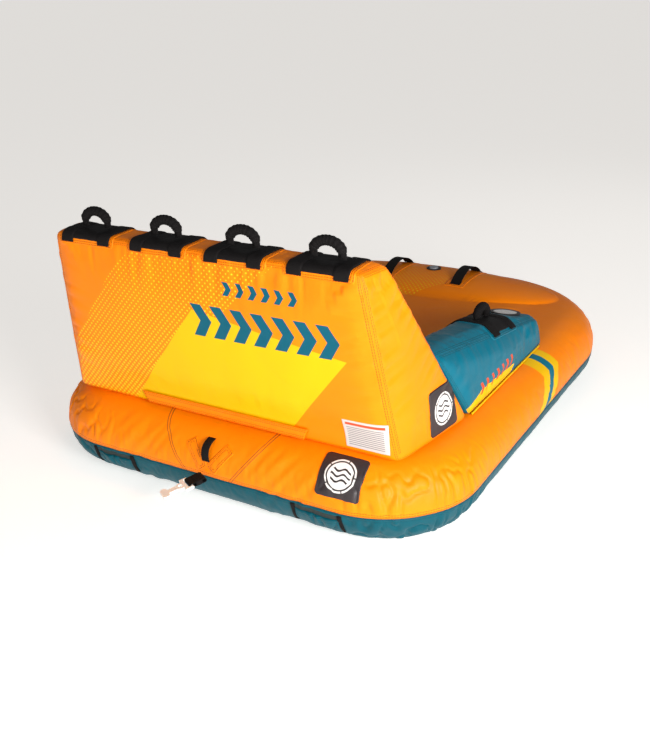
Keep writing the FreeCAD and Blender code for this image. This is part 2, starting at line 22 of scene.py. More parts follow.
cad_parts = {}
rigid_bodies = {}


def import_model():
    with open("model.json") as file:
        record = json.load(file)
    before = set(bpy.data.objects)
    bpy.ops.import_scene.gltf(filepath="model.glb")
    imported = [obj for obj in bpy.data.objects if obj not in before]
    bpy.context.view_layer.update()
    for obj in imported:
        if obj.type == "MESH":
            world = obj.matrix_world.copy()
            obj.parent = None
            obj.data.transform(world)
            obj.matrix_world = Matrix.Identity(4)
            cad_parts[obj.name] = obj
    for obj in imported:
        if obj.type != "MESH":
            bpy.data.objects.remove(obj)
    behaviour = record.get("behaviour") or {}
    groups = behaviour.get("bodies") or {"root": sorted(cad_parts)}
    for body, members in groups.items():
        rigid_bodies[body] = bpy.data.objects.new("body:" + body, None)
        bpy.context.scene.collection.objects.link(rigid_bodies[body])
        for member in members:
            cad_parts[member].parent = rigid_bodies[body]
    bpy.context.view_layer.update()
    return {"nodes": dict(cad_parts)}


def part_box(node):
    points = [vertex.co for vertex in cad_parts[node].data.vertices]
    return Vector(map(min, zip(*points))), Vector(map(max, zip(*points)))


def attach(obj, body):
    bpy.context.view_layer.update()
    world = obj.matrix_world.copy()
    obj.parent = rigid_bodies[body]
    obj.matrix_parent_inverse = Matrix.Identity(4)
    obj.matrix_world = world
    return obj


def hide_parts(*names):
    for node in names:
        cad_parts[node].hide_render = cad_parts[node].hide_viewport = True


for leftover in list(bpy.data.objects):
    bpy.data.objects.remove(leftover, do_unlink=True)
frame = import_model()

LOG = logging.getLogger("towable")
SHIFT = -0.981418  # row frame minus the tow end's own zero, along Y
TOP = 0.290  # top of the base tube
BASE_FILM_DEPTH = 0.014  # the base bladder lies this far inside its cover
CUSHION_FILM_DEPTH = 0.012  # the backrest and armrest bladders, the same
SETTLE_STEPS = 20  # cloth steps a cover is given to settle
CAMERA_SHIFT = (0.0295, -0.0133)
CAMERA_SENSOR = 36.0  # millimetres
FLOOR_HALF = 60.0  # half the width of the floor
FLOOR_DROP = 0.0005  # the floor lies this far below the water side
WORLD_LIGHT = 0.20  # what the white world adds to the lamps


class Side(Enum):
    """Which side of the tube a piece is on."""

    RIGHT = 1
    LEFT = -1


class Hue(Enum):
    """Colours of the cloth, trims and plastics, as sRGB."""

    ORANGE = "#FF8900"
    DEEP_ORANGE = "#FA6C00"
    TEAL = "#006A80"
    DEEP_TEAL = "#00414D"
    YELLOW = "#EDB900"
    DOT = "#FFC81E"
    BLACK = "#110D0C"
    BROWN_BLACK = "#2B2224"
    WHITE = "#F1EEEA"
    BONE = "#F4F1EE"
    GREY = "#8E9399"
    FILM = "#DDE3E2"
    RED_ORANGE = "#D8481C"
    THREAD = "#A84400"
    LABEL = "#CDC6C2"
    RULE = "#6E6A6C"
    PRINT_TEAL = "#00596E"
    LOWER_TEAL = "#00505D"


def linear(hue: Hue) -> tuple[float, float, float, float]:
    """Turn a hue to linear light.

    Args:
        hue: the colour, as an sRGB hex code.

    Returns:
        Red, green, blue and an alpha of 1.
    """
    parts = [int(hue.value[i : i + 2], 16) / 255 for i in (1, 3, 5)]
    levels = [c / 12.92 if c <= 0.04045 else ((c + 0.055) / 1.055) ** 2.4 for c in parts]
    return (levels[0], levels[1], levels[2], 1.0)


# ---------------------------------------------------------------- materials


def add_node(
    tree: bpy.types.NodeTree, kind: str, links: dict | None = None, **settings: object
) -> bpy.types.Node:
    """Add one shader node.

    Args:
        tree: the material's node tree.
        kind: the node's type.
        links: input name or number to a socket to link, or a value to set.
        settings: the node's own properties.

    Returns:
        The new node.
    """
    made = tree.nodes.new(kind)
    for name, value in settings.items():
        setattr(made, name, value)
    for socket, value in (links or {}).items():
        if isinstance(value, bpy.types.NodeSocket):
            tree.links.new(value, made.inputs[socket])
        else:
            made.inputs[socket].default_value = value
    return made


@dataclass
class Artwork:
    """Flat printed shapes on one plane of the object, as signed distances in metres.

    plane is a vector socket (u, v, 1) of the two coordinates that span the print.
    """

    tree: bpy.types.NodeTree
    plane: bpy.types.NodeSocket

    def calc(self, operation: str, *values: object) -> bpy.types.NodeSocket:
        """Result of one sum on sockets or numbers."""
        node = add_node(self.tree, "ShaderNodeMath", dict(enumerate(values)), operation=operation)
        return node.outputs[0]

    def edge(self, a: tuple[float, float], b: tuple[float, float]) -> bpy.types.NodeSocket:
        """Distance to the left of the line from a to b."""
        dx, dy = b[0] - a[0], b[1] - a[1]
        size = math.hypot(dx, dy)
        normal = (-dy / size, dx / size, (dy * a[0] - dx * a[1]) / size)
        node = add_node(
            self.tree, "ShaderNodeVectorMath", {0: self.plane, 1: normal}, operation="DOT_PRODUCT"
        )
        return node.outputs["Value"]

    def inside(self, corners: Sequence[tuple[float, float]]) -> bpy.types.NodeSocket:
        """Depth inside a convex shape.

        Args:
            corners: its corners, anticlockwise.

        Returns:
            Distance to the nearest side, positive inside.
        """
        depth = None
        for a, b in zip(corners, list(corners[1:]) + [corners[0]]):
            here = self.edge(a, b)
            depth = here if depth is None else self.calc("MINIMUM", depth, here)
        return depth

    def ink(
        self, under: object, hue: Hue, depth: bpy.types.NodeSocket, soft: float = 0.0008
    ) -> bpy.types.NodeSocket:
        """Lay one colour of ink over what is under it.

        Args:
            under: the colour so far.
            hue: the ink.
            depth: signed distance, positive where the ink is.
            soft: half width of the ink's edge.

        Returns:
            The colour with the ink on it.
        """
        share = add_node(
            self.tree, "ShaderNodeMapRange", {"Value": depth, "From Min": -soft, "From Max": soft}
        )
        mix = add_node(
            self.tree, "ShaderNodeMix", {0: share.outputs[0], 6: under, 7: linear(hue)},
            data_type="RGBA"
        )
        return mix.outputs[2]

    def halftone(
        self, pitch: float, large: float, fade: bpy.types.NodeSocket, length: float
    ) -> bpy.types.NodeSocket:
        """Staggered dots that shrink along a distance.

        Args:
            pitch: distance between neighbours.
            large: radius where fade is 0.
            fade: distance along which the dots shrink.
            length: distance at which they have shrunk by two thirds.

        Returns:
            Depth inside the nearest dot.
        """
        flat = add_node(
            self.tree, "ShaderNodeMapping",
            {
                "Vector": self.plane, "Rotation": (0, 0, math.radians(45)),
                "Scale": (1 / pitch, 1 / pitch, 0)
            }
        )
        cell = add_node(
            self.tree, "ShaderNodeVectorMath", {0: flat.outputs[0]}, operation="FRACTION"
        )
        off = add_node(
            self.tree, "ShaderNodeVectorMath", {0: cell.outputs[0], 1: (0.5, 0.5, 0)},
            operation="SUBTRACT"
        )
        reach = add_node(self.tree, "ShaderNodeVectorMath", {0: off.outputs[0]}, operation="LENGTH")
        size = add_node(
            self.tree, "ShaderNodeMapRange",
            {
                "Value": fade, "From Min": 0.0, "From Max": length, "To Min": large,
                "To Max": large / 3
            }
        )
        return self.calc(
            "SUBTRACT", size.outputs[0], self.calc("MULTIPLY", reach.outputs["Value"], pitch)
        )

    def chevrons(
        self, low: tuple[float, float], high: tuple[float, float], pitch: float, duty: float
    ) -> bpy.types.NodeSocket:
        """Row of plain chevrons that fills a box.

        Args:
            low: the box's lowest corner.
            high: its highest corner.
            pitch: distance from one chevron to the next.
            duty: the inked share of each pitch.

        Returns:
            Depth inside the nearest chevron.
        """
        parts = add_node(self.tree, "ShaderNodeSeparateXYZ", {0: self.plane})
        middle = (low[1] + high[1]) / 2
        lean = self.calc(
            "MULTIPLY", self.calc("ABSOLUTE", self.calc("SUBTRACT", parts.outputs[1], middle)), 0.62
        )
        turn = self.calc(
            "FRACT",
            self.calc(
                "DIVIDE",
                self.calc("ADD", self.calc("SUBTRACT", parts.outputs[0], low[0] - 12 * pitch), lean),
                pitch
            )
        )
        bar = self.calc(
            "MULTIPLY",
            self.calc("SUBTRACT", duty / 2, self.calc("ABSOLUTE", self.calc("SUBTRACT", turn, 0.5))),
            pitch
        )
        slid = self.calc("ADD", parts.outputs[0], lean)
        ends = self.calc(
            "MINIMUM", self.calc("SUBTRACT", slid, low[0]), self.calc("SUBTRACT", high[0], slid)
        )
        rows = self.calc(
            "SUBTRACT", (high[1] - low[1]) / 2,
            self.calc("ABSOLUTE", self.calc("SUBTRACT", parts.outputs[1], middle))
        )
        return self.calc("MINIMUM", bar, self.calc("MINIMUM", ends, rows))

    def stitches(
        self, line: bpy.types.NodeSocket, along: bpy.types.NodeSocket, offset: float
    ) -> bpy.types.NodeSocket:
        """Dashes beside a seam, 9 mm apart and 2 mm wide.

        Real stitches are 4 mm apart and half a millimetre wide; these are drawn coarser so that they show.
        """
        near = self.calc(
            "SUBTRACT", 0.0010, self.calc("ABSOLUTE", self.calc("SUBTRACT", line, offset))
        )
        dash = self.calc("SUBTRACT", self.calc("FRACT", self.calc("DIVIDE", along, 0.009)), 0.28)
        return self.calc("MINIMUM", near, self.calc("MULTIPLY", dash, 0.009))


Print = Callable[[Artwork, bpy.types.NodeSocket], bpy.types.NodeSocket]


@dataclass(frozen=True)
class CoatedNylon:
    """Coated nylon oxford, woven and calendered: an even colour with a soft satin light and fine creases."""

    name: str
    hue: Hue
    shade: Hue
    roughness: float = 0.46
    artwork: Print | None = None
    axes: str = "XZ"
    seams: bool = True

    def build(self) -> bpy.types.Material:
        """Make the material."""
        made = bpy.data.materials.new(self.name)
        made.use_nodes = True
        tree = made.node_tree
        tree.nodes.clear()
        place = add_node(tree, "ShaderNodeTexCoord").outputs["Object"]
        parts = add_node(tree, "ShaderNodeSeparateXYZ", {0: place})
        spread = add_node(
            tree, "ShaderNodeCombineXYZ",
            {0: parts.outputs[self.axes[0]], 1: parts.outputs[self.axes[1]], 2: 1.0}
        )
        art = Artwork(tree, spread.outputs[0])
        blotch = add_node(
            tree, "ShaderNodeTexNoise", {"Vector": place, "Scale": 4.0, "Detail": 3.0}
        )
        tint = add_node(
            tree, "ShaderNodeMapRange",
            {"Value": blotch.outputs[0], "From Min": 0.3, "From Max": 0.8, "To Max": 0.35}
        )
        colour = add_node(
            tree, "ShaderNodeMix", {0: tint.outputs[0], 6: linear(self.hue), 7: linear(self.shade)},
            data_type="RGBA"
        ).outputs[2]
        if self.artwork:
            colour = self.artwork(art, colour)
        weave_x = add_node(
            tree, "ShaderNodeTexWave", {"Vector": place, "Scale": 1 / 0.0165, "Distortion": 0.3},
            bands_direction="X"
        )
        weave_z = add_node(
            tree, "ShaderNodeTexWave", {"Vector": place, "Scale": 1 / 0.0165, "Distortion": 0.3},
            bands_direction="Z"
        )
        weave = art.calc(
            "MULTIPLY", art.calc("ADD", weave_x.outputs[1], weave_z.outputs[1]), 0.00004
        )
        soft = add_node(
            tree, "ShaderNodeTexNoise",
            {"Vector": place, "Scale": 17.0, "Detail": 4.0, "Roughness": 0.45, "Distortion": 0.7}
        )
        height = art.calc("ADD", weave, art.calc("MULTIPLY", soft.outputs[0], 0.0022))
        if self.seams:
            seam = add_node(tree, "ShaderNodeUVMap", uv_map="Seam")
            run = add_node(tree, "ShaderNodeSeparateXYZ", {0: seam.outputs[0]})
            away = art.calc("ABSOLUTE", run.outputs[1])
            for offset in (0.0055, 0.0125):
                stitch = art.stitches(away, run.outputs[0], offset)
                colour = art.ink(
                    colour, Hue.THREAD if self.hue is Hue.ORANGE else Hue.DEEP_TEAL, stitch, 0.0006
                )
                dent = add_node(
                    tree, "ShaderNodeMapRange",
                    {
                        "Value": art.calc("ABSOLUTE", art.calc("SUBTRACT", away, offset)),
                        "From Max": 0.003, "To Min": -0.0009, "To Max": 0.0
                    }
                )
                height = art.calc("ADD", height, dent.outputs[0])
            join = add_node(
                tree, "ShaderNodeMapRange",
                {"Value": away, "From Max": 0.003, "To Min": -0.0016, "To Max": 0.0}
            )
            height = art.calc("ADD", height, join.outputs[0])
        bump = add_node(
            tree, "ShaderNodeBump", {"Height": height, "Strength": 0.75, "Distance": 1.0}
        )
        rough = add_node(
            tree, "ShaderNodeMapRange",
            {
                "Value": soft.outputs[0], "To Min": self.roughness - 0.06,
                "To Max": self.roughness + 0.08
            }
        )
        shader = add_node(
            tree, "ShaderNodeBsdfPrincipled",
            {
                "Base Color": colour, "Roughness": rough.outputs[0], "Normal": bump.outputs[0],
                "Specular IOR Level": 0.16
            }
        )
        add_node(tree, "ShaderNodeOutputMaterial", {0: shader.outputs[0]})
        return made


@dataclass(frozen=True)
class Woven:
    """Ribbed or twilled webbing or knit, read along the piece's own map: dull, with fine ribs across."""

    name: str
    hue: Hue
    rib: float = 0.0022
    depth: float = 0.0005
    roughness: float = 0.78

    def build(self) -> bpy.types.Material:
        """Make the material."""
        made = bpy.data.materials.new(self.name)
        made.use_nodes = True
        tree = made.node_tree
        tree.nodes.clear()
        lie = add_node(tree, "ShaderNodeUVMap", uv_map="Lie").outputs[0]
        art = Artwork(tree, lie)
        ribs = add_node(
            tree, "ShaderNodeTexWave",
            {"Vector": lie, "Scale": 0.314 / self.rib, "Distortion": 0.6}, bands_direction="X"
        )
        cross = add_node(
            tree, "ShaderNodeTexWave",
            {"Vector": lie, "Scale": 0.314 / (self.rib * 1.7), "Distortion": 0.4},
            bands_direction="Y"
        )
        fuzz = add_node(
            tree, "ShaderNodeTexNoise",
            {
                "Vector": add_node(tree, "ShaderNodeTexCoord").outputs["Object"], "Scale": 260.0,
                "Detail": 2.0
            }
        )
        height = art.calc(
            "MULTIPLY",
            art.calc(
                "ADD", art.calc("MULTIPLY", ribs.outputs[1], cross.outputs[1]), fuzz.outputs[0]
            ),
            self.depth
        )
        worn = add_node(tree, "ShaderNodeMapRange", {"Value": ribs.outputs[1], "To Max": 0.025})
        colour = add_node(
            tree, "ShaderNodeMix", {0: worn.outputs[0], 6: linear(self.hue), 7: linear(Hue.GREY)},
            data_type="RGBA"
        )
        bump = add_node(
            tree, "ShaderNodeBump", {"Height": height, "Strength": 0.8, "Distance": 1.0}
        )
        shader = add_node(
            tree, "ShaderNodeBsdfPrincipled",
            {
                "Base Color": colour.outputs[2], "Roughness": self.roughness,
                "Normal": bump.outputs[0], "Specular IOR Level": 0.12
            }
        )
        add_node(tree, "ShaderNodeOutputMaterial", {0: shader.outputs[0]})
        return made


@dataclass(frozen=True)
class Moulded:
    """Moulded plastic or rubber: an even colour with a fine spark-eroded grain and slight wear."""

    name: str
    hue: Hue
    roughness: float
    grain: float = 0.0009
    depth: float = 0.00006
    ior: float = 1.5
    metallic: float = 0.0
    coat: float = 0.0
    glow: float = 0.0

    def build(self) -> bpy.types.Material:
        """Make the material."""
        made = bpy.data.materials.new(self.name)
        made.use_nodes = True
        tree = made.node_tree
        tree.nodes.clear()
        place = add_node(tree, "ShaderNodeTexCoord").outputs["Object"]
        grain = add_node(
            tree, "ShaderNodeTexNoise", {"Vector": place, "Scale": 1 / self.grain, "Detail": 2.0}
        )
        wear = add_node(tree, "ShaderNodeTexNoise", {"Vector": place, "Scale": 35.0, "Detail": 4.0})
        tone = add_node(
            tree, "ShaderNodeMapRange",
            {"Value": wear.outputs[0], "From Min": 0.4, "From Max": 0.8, "To Max": 0.05}
        )
        colour = add_node(
            tree, "ShaderNodeMix", {0: tone.outputs[0], 6: linear(self.hue), 7: linear(Hue.GREY)},
            data_type="RGBA"
        )
        rough = add_node(
            tree, "ShaderNodeMapRange",
            {
                "Value": wear.outputs[0], "To Min": max(self.roughness - 0.06, 0.03),
                "To Max": self.roughness + 0.08
            }
        )
        bump = add_node(
            tree, "ShaderNodeBump",
            {"Height": grain.outputs[0], "Strength": 0.5, "Distance": self.depth * 10}
        )
        shader = add_node(
            tree, "ShaderNodeBsdfPrincipled",
            {
                "Base Color": colour.outputs[2], "Roughness": rough.outputs[0],
                "Normal": bump.outputs[0], "IOR": self.ior, "Metallic": self.metallic,
                "Coat Weight": self.coat, "Emission Color": linear(self.hue),
                "Emission Strength": self.glow
            }
        )
        add_node(tree, "ShaderNodeOutputMaterial", {0: shader.outputs[0]})
        return made


@dataclass(frozen=True)
class Printed:
    """Flat printed face of a badge, label or mesh strip, drawn on the piece's own map in metres."""

    name: str
    hue: Hue
    artwork: Print
    roughness: float = 0.5

    def build(self) -> bpy.types.Material:
        """Make the material."""
        made = bpy.data.materials.new(self.name)
        made.use_nodes = True
        tree = made.node_tree
        tree.nodes.clear()
        lie = add_node(tree, "ShaderNodeUVMap", uv_map="Lie").outputs[0]
        lifted = add_node(
            tree, "ShaderNodeVectorMath", {0: lie, 1: (0, 0, 1)}, operation="ADD"
        ).outputs[0]
        colour = self.artwork(Artwork(tree, lifted), add_node(tree, "ShaderNodeRGB").outputs[0])
        for node in tree.nodes:
            if node.type == "RGB":
                node.outputs[0].default_value = linear(self.hue)
        grain = add_node(tree, "ShaderNodeTexNoise", {"Vector": lie, "Scale": 500.0, "Detail": 2.0})
        bump = add_node(
            tree, "ShaderNodeBump",
            {"Height": grain.outputs[0], "Strength": 0.4, "Distance": 0.0008}
        )
        shader = add_node(
            tree, "ShaderNodeBsdfPrincipled",
            {"Base Color": colour, "Roughness": self.roughness, "Normal": bump.outputs[0]}
        )
        add_node(tree, "ShaderNodeOutputMaterial", {0: shader.outputs[0]})
        return made


def back_print(art: Artwork, colour: bpy.types.NodeSocket) -> bpy.types.NodeSocket:
    """Halftone, slanted yellow field and plain teal marks of the backrest's front."""
    field = art.inside(
        [
            (-0.238, 0.893), (-0.327, 0.821), (-0.600, 0.496), (-0.642, 0.295), (-0.385, 0.296),
            (0.313, 0.914)
        ]
    )
    fade = art.edge((-0.642, 0.304), (0.20, 0.35))
    dots = art.halftone(0.0145, 0.0050, fade, 0.70)
    colour = art.ink(colour, Hue.DOT, art.calc("MINIMUM", dots, field), 0.0006)
    yellow = art.inside([(-0.385, 0.29), (0.248, 0.29), (0.521, 0.626), (-0.023, 0.715)])
    colour = art.ink(colour, Hue.YELLOW, yellow)
    colour = art.ink(
        colour, Hue.PRINT_TEAL, art.chevrons((-0.010, 0.626), (0.522, 0.737), 0.076, 0.56)
    )
    return art.ink(
        colour, Hue.PRINT_TEAL, art.chevrons((0.105, 0.780), (0.387, 0.824), 0.047, 0.45)
    )


def tube_print(art: Artwork, colour: bpy.types.NodeSocket) -> bpy.types.NodeSocket:
    """Three kinked bands on each side tube, panel seams of the tow end and dots of the far deck."""
    place = add_node(art.tree, "ShaderNodeTexCoord").outputs["Object"]
    parts = add_node(art.tree, "ShaderNodeSeparateXYZ", {0: place})
    out = art.calc("ABSOLUTE", parts.outputs[0])
    rise = art.calc("MULTIPLY", art.calc("MAXIMUM", art.calc("SUBTRACT", 0.80, out), 0.0), 0.37)
    fall = art.calc(
        "MULTIPLY", art.calc("MAXIMUM", art.calc("SUBTRACT", 0.236, parts.outputs[2]), 0.0), 1.35
    )
    run = art.calc("ADD", parts.outputs[1], art.calc("ADD", rise, fall))
    here = art.calc("SUBTRACT", out, 0.655)
    for low, high, hue in (
        (0.084, 0.150, Hue.YELLOW), (0.150, 0.196, Hue.TEAL), (0.196, 0.246, Hue.YELLOW)
    ):
        band = art.calc("MINIMUM", art.calc("SUBTRACT", run, low), art.calc("SUBTRACT", high, run))
        colour = art.ink(colour, hue, art.calc("MINIMUM", band, here))
    front = art.calc("SUBTRACT", -0.80, parts.outputs[1])
    height = add_node(art.tree, "ShaderNodeCombineXYZ", {0: out, 1: parts.outputs[2], 2: 1.0})
    panel = Artwork(art.tree, height.outputs[0])
    line = panel.edge((0.217, 0.287), (0.097, 0.140))
    for offset in (-0.004, 0.004):
        thread = art.calc(
            "SUBTRACT", 0.0009, art.calc("ABSOLUTE", art.calc("SUBTRACT", line, offset))
        )
        colour = art.ink(colour, Hue.BROWN_BLACK, art.calc("MINIMUM", thread, front), 0.0016)
    flat = add_node(
        art.tree, "ShaderNodeCombineXYZ", {0: parts.outputs[0], 1: parts.outputs[1], 2: 1.0}
    )
    deck = Artwork(art.tree, flat.outputs[0])
    field = deck.inside([(-0.52, 0.60), (0.02, 0.56), (0.40, 0.98), (-0.10, 1.02)])
    dots = deck.halftone(0.0155, 0.0036, deck.edge((-0.52, 0.60), (0.02, 0.56)), 0.6)
    return art.ink(colour, Hue.DOT, art.calc("MINIMUM", dots, field), 0.0006)


def arm_print(art: Artwork, colour: bpy.types.NodeSocket) -> bpy.types.NodeSocket:
    """Yellow wedge at the foot of the armrest's outer face with plain marks on it."""
    wedge = art.inside(
        [(-0.62, 0.28), (-0.11, 0.28), (-0.035, 0.322), (-0.39, 0.352), (-0.46, 0.322)]
    )
    colour = art.ink(colour, Hue.YELLOW, wedge)
    return art.ink(
        colour, Hue.RED_ORANGE, art.chevrons((-0.37, 0.330), (-0.05, 0.372), 0.047, 0.36)
    )


def badge_print(art: Artwork, colour: bpy.types.NodeSocket) -> bpy.types.NodeSocket:
    """White disc with a ring of dashes and three plain waves."""
    reach = add_node(
        art.tree, "ShaderNodeVectorMath",
        {
            0: add_node(
                art.tree, "ShaderNodeVectorMath", {0: art.plane, 1: (1, 1, 0)}, operation="MULTIPLY"
            ).outputs[0]
        },
        operation="LENGTH"
    ).outputs["Value"]
    parts = add_node(art.tree, "ShaderNodeSeparateXYZ", {0: art.plane})
    turn = art.calc("ARCTAN2", parts.outputs[1], parts.outputs[0])
    dash = art.calc("SUBTRACT", art.calc("FRACT", art.calc("MULTIPLY", turn, 5 / math.tau)), 0.06)
    outer = art.calc("SUBTRACT", 0.0028, art.calc("ABSOLUTE", art.calc("SUBTRACT", reach, 0.051)))
    colour = art.ink(
        colour, Hue.WHITE, art.calc("MINIMUM", outer, art.calc("MULTIPLY", dash, 0.05))
    )
    colour = art.ink(colour, Hue.WHITE, art.calc("SUBTRACT", 0.043, reach))
    wave = art.calc(
        "MULTIPLY", art.calc("SINE", art.calc("MULTIPLY", parts.outputs[0], 145.0)), 0.0045
    )
    for level in (-0.017, 0.0, 0.017):
        stripe = art.calc(
            "SUBTRACT", 0.0034,
            art.calc(
                "ABSOLUTE",
                art.calc("SUBTRACT", art.calc("SUBTRACT", parts.outputs[1], level), wave)
            )
        )
        colour = art.ink(
            colour, Hue.BROWN_BLACK, art.calc("MINIMUM", stripe, art.calc("SUBTRACT", 0.035, reach))
        )
    return colour


def label_print(art: Artwork, colour: bpy.types.NodeSocket) -> bpy.types.NodeSocket:
    """Plain bar and grey rules of a sewn care label."""
    parts = add_node(art.tree, "ShaderNodeSeparateXYZ", {0: art.plane})
    colour = art.ink(
        colour, Hue.RED_ORANGE,
        art.inside([(-0.066, 0.036), (0.066, 0.036), (0.066, 0.046), (-0.066, 0.046)])
    )
    turn = art.calc("FRACT", art.calc("DIVIDE", parts.outputs[1], 0.0075))
    rule = art.calc(
        "MULTIPLY",
        art.calc("SUBTRACT", 0.17, art.calc("ABSOLUTE", art.calc("SUBTRACT", turn, 0.5))), 0.0075
    )
    ends = art.inside([(-0.064, -0.044), (0.060, -0.044), (0.060, 0.030), (-0.064, 0.030)])
    return art.ink(colour, Hue.RULE, art.calc("MINIMUM", rule, ends), 0.0004)


def mesh_print(art: Artwork, colour: bpy.types.NodeSocket) -> bpy.types.NodeSocket:
    """Round holes of drain mesh, 4 mm apart, drawn larger than real so that they show."""
    fade = add_node(
        art.tree, "ShaderNodeVectorMath", {0: art.plane, 1: (0, 0, 0)}, operation="DOT_PRODUCT"
    ).outputs["Value"]
    return art.ink(colour, Hue.GREY, art.halftone(0.004, 0.0011, fade, 1.0), 0.0004)


class Finish(Enum):
    """Every finish on the tube, each with the record slot it stands for."""

    ORANGE_NYLON = (CoatedNylon("orange_nylon_oxford", Hue.ORANGE, Hue.DEEP_ORANGE), "orange_nylon")
    TUBE_NYLON = (
        CoatedNylon("tube_orange_nylon_oxford", Hue.ORANGE, Hue.DEEP_ORANGE, artwork=tube_print),
        "orange_nylon"
    )
    FRONT_NYLON = (
        CoatedNylon("front_printed_nylon_oxford", Hue.ORANGE, Hue.DEEP_ORANGE, artwork=back_print),
        "orange_nylon"
    )
    TEAL_NYLON = (
        CoatedNylon("teal_nylon_oxford", Hue.TEAL, Hue.DEEP_TEAL, roughness=0.4), "teal_nylon"
    )
    LOWER_NYLON = (
        CoatedNylon("lower_teal_nylon_oxford", Hue.LOWER_TEAL, Hue.DEEP_TEAL), "teal_nylon"
    )
    ARM_NYLON = (
        CoatedNylon(
            "arm_printed_nylon_oxford", Hue.TEAL, Hue.DEEP_TEAL, roughness=0.4, artwork=arm_print,
            axes="YZ"
        ),
        "teal_nylon"
    )
    WEBBING = (Woven("black_polyester_webbing", Hue.BLACK), "black_webbing")
    SLEEVE = (
        Woven("black_knit_sleeve", Hue.BLACK, rib=0.003, depth=0.0009, roughness=0.85),
        "padded_sleeve"
    )
    FOAM = (
        Woven("black_neoprene_pad", Hue.BLACK, rib=0.0045, depth=0.0004, roughness=0.62),
        "black_foam"
    )
    RUBBER = (Moulded("black_pvc_rubber", Hue.BLACK, 0.5), "black_foam")
    BADGE = (Printed("printed_foam_badge", Hue.BROWN_BLACK, badge_print), "black_foam")
    LABEL = (Printed("printed_label_film", Hue.LABEL, label_print), "label_film")
    DRAIN = (Printed("drain_mesh", Hue.BLACK, mesh_print, 0.7), "drain_mesh")
    PIPING = (CoatedNylon("yellow_piping_nylon", Hue.YELLOW, Hue.DOT, seams=False), "orange_nylon")
    FLOOR = (Moulded("pale_painted_floor", Hue.WHITE, 0.8, glow=0.64), "white_plastic")
    BLADDER = (Moulded("bladder_pvc_film", Hue.FILM, 0.25), "bladder_film")
    HOOK = (Moulded("white_moulded_nylon", Hue.BONE, 0.33, coat=0.1), "white_plastic")
    CAP = (Moulded("pale_polished_cap", Hue.WHITE, 0.16, coat=0.6), "pale_plastic")
    DECK_CAP = (Moulded("grey_moulded_cap", Hue.GREY, 0.35), "grey_plastic")
    SLIDER = (Moulded("black_zinc_slider", Hue.BLACK, 0.3), "black_plastic")

    def material(self) -> bpy.types.Material:
        """The Blender material, made on first use."""
        recipe = self.value[0]
        return bpy.data.materials.get(recipe.name) or recipe.build()

    @property
    def slot(self) -> str:
        """The record's material slot."""
        return self.value[1]


# ------------------------------------------------------------------ meshes


def only(piece: bpy.types.Object) -> None:
    """Select one object and make it the active one."""
    bpy.ops.object.select_all(action="DESELECT")
    piece.select_set(True)
    bpy.context.view_layer.objects.active = piece


def make_piece(
    name: str, points: np.ndarray, faces: list[list[int]], finishes: Sequence[Finish],
    kinds: Sequence[int] | None = None, maps: dict[str, np.ndarray] | None = None
) -> bpy.types.Object:
    """Make a smooth mesh object.

    Args:
        name: the piece's name.
        points: its vertices.
        faces: vertex numbers of each face.
        finishes: its finishes, each added as one of its materials.
        kinds: number of the finish of each face.
        maps: name to one (u, v) pair for each corner of each face.

    Returns:
        The new object, at the origin.
    """
    mesh = bpy.data.meshes.new(name)
    mesh.from_pydata([tuple(map(float, p)) for p in points], [], faces)
    for finish in finishes:
        mesh.materials.append(finish.material())
    if kinds is not None:
        mesh.polygons.foreach_set("material_index", np.asarray(kinds, dtype=np.int32))
    for layer, values in (maps or {}).items():
        mesh.uv_layers.new(name=layer).data.foreach_set(
            "uv", np.asarray(values, dtype=np.float32).ravel()
        )
    mesh.polygons.foreach_set("use_smooth", np.ones(len(mesh.polygons), dtype=bool))
    mesh.update()
    piece = bpy.data.objects.new(name, mesh)
    bpy.context.scene.collection.objects.link(piece)
    return piece


def face_outwards(piece: bpy.types.Object) -> None:
    """Turn every face of a closed mesh outwards."""
    shell = bmesh.new()
    shell.from_mesh(piece.data)
    bmesh.ops.recalc_face_normals(shell, faces=shell.faces)
    shell.to_mesh(piece.data)
    shell.free()


def split_wide_faces(piece: bpy.types.Object) -> None:
    """Cut faces of many corners into triangles, which subdivide quickly."""
    shell = bmesh.new()
    shell.from_mesh(piece.data)
    bmesh.ops.triangulate(
        shell, faces=[f for f in shell.faces if len(f.verts) > 4], ngon_method="BEAUTY"
    )
    shell.to_mesh(piece.data)
    shell.free()


def line_with_bladder(
    cover: bpy.types.Object, name: str, depth: float, *nodes: str
) -> bpy.types.Object:
    """Make the bladder that fills a cover, from the cover's own mesh.

    Args:
        cover: the cover, before its last subdivision.
        name: the bladder's name.
        depth: how far it lies inside the cover.
        nodes: the CAD nodes it stands for.

    Returns:
        The bladder.
    """
    mesh = cover.data.copy()
    mesh.name = name
    write_points(mesh, read_points(mesh) - read_points(mesh, "normal") * depth)
    mesh.materials.clear()
    mesh.materials.append(Finish.BLADDER.material())
    mesh.polygons.foreach_set("material_index", np.zeros(len(mesh.polygons), dtype=np.int32))
    bladder = bpy.data.objects.new(name, mesh)
    bpy.context.scene.collection.objects.link(bladder)
    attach(bladder, "tube")
    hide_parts(*nodes)
    return bladder


def apply_modifier(piece: bpy.types.Object, kind: str, **settings: object) -> None:
    """Add a modifier with its settings and apply it."""
    only(piece)
    modifier = piece.modifiers.new(kind.lower(), kind)
    for name, value in settings.items():
        setattr(modifier, name, value)
    bpy.ops.object.modifier_apply(modifier=modifier.name)


def read_points(mesh: bpy.types.Mesh, what: str = "co") -> np.ndarray:
    """Vertex places or normals of a mesh, one row each."""
    found = np.empty(len(mesh.vertices) * 3, dtype=np.float32)
    source = mesh.vertices if what == "co" else mesh.vertex_normals
    source.foreach_get("co" if what == "co" else "vector", found)
    return found.reshape(-1, 3).astype(float)


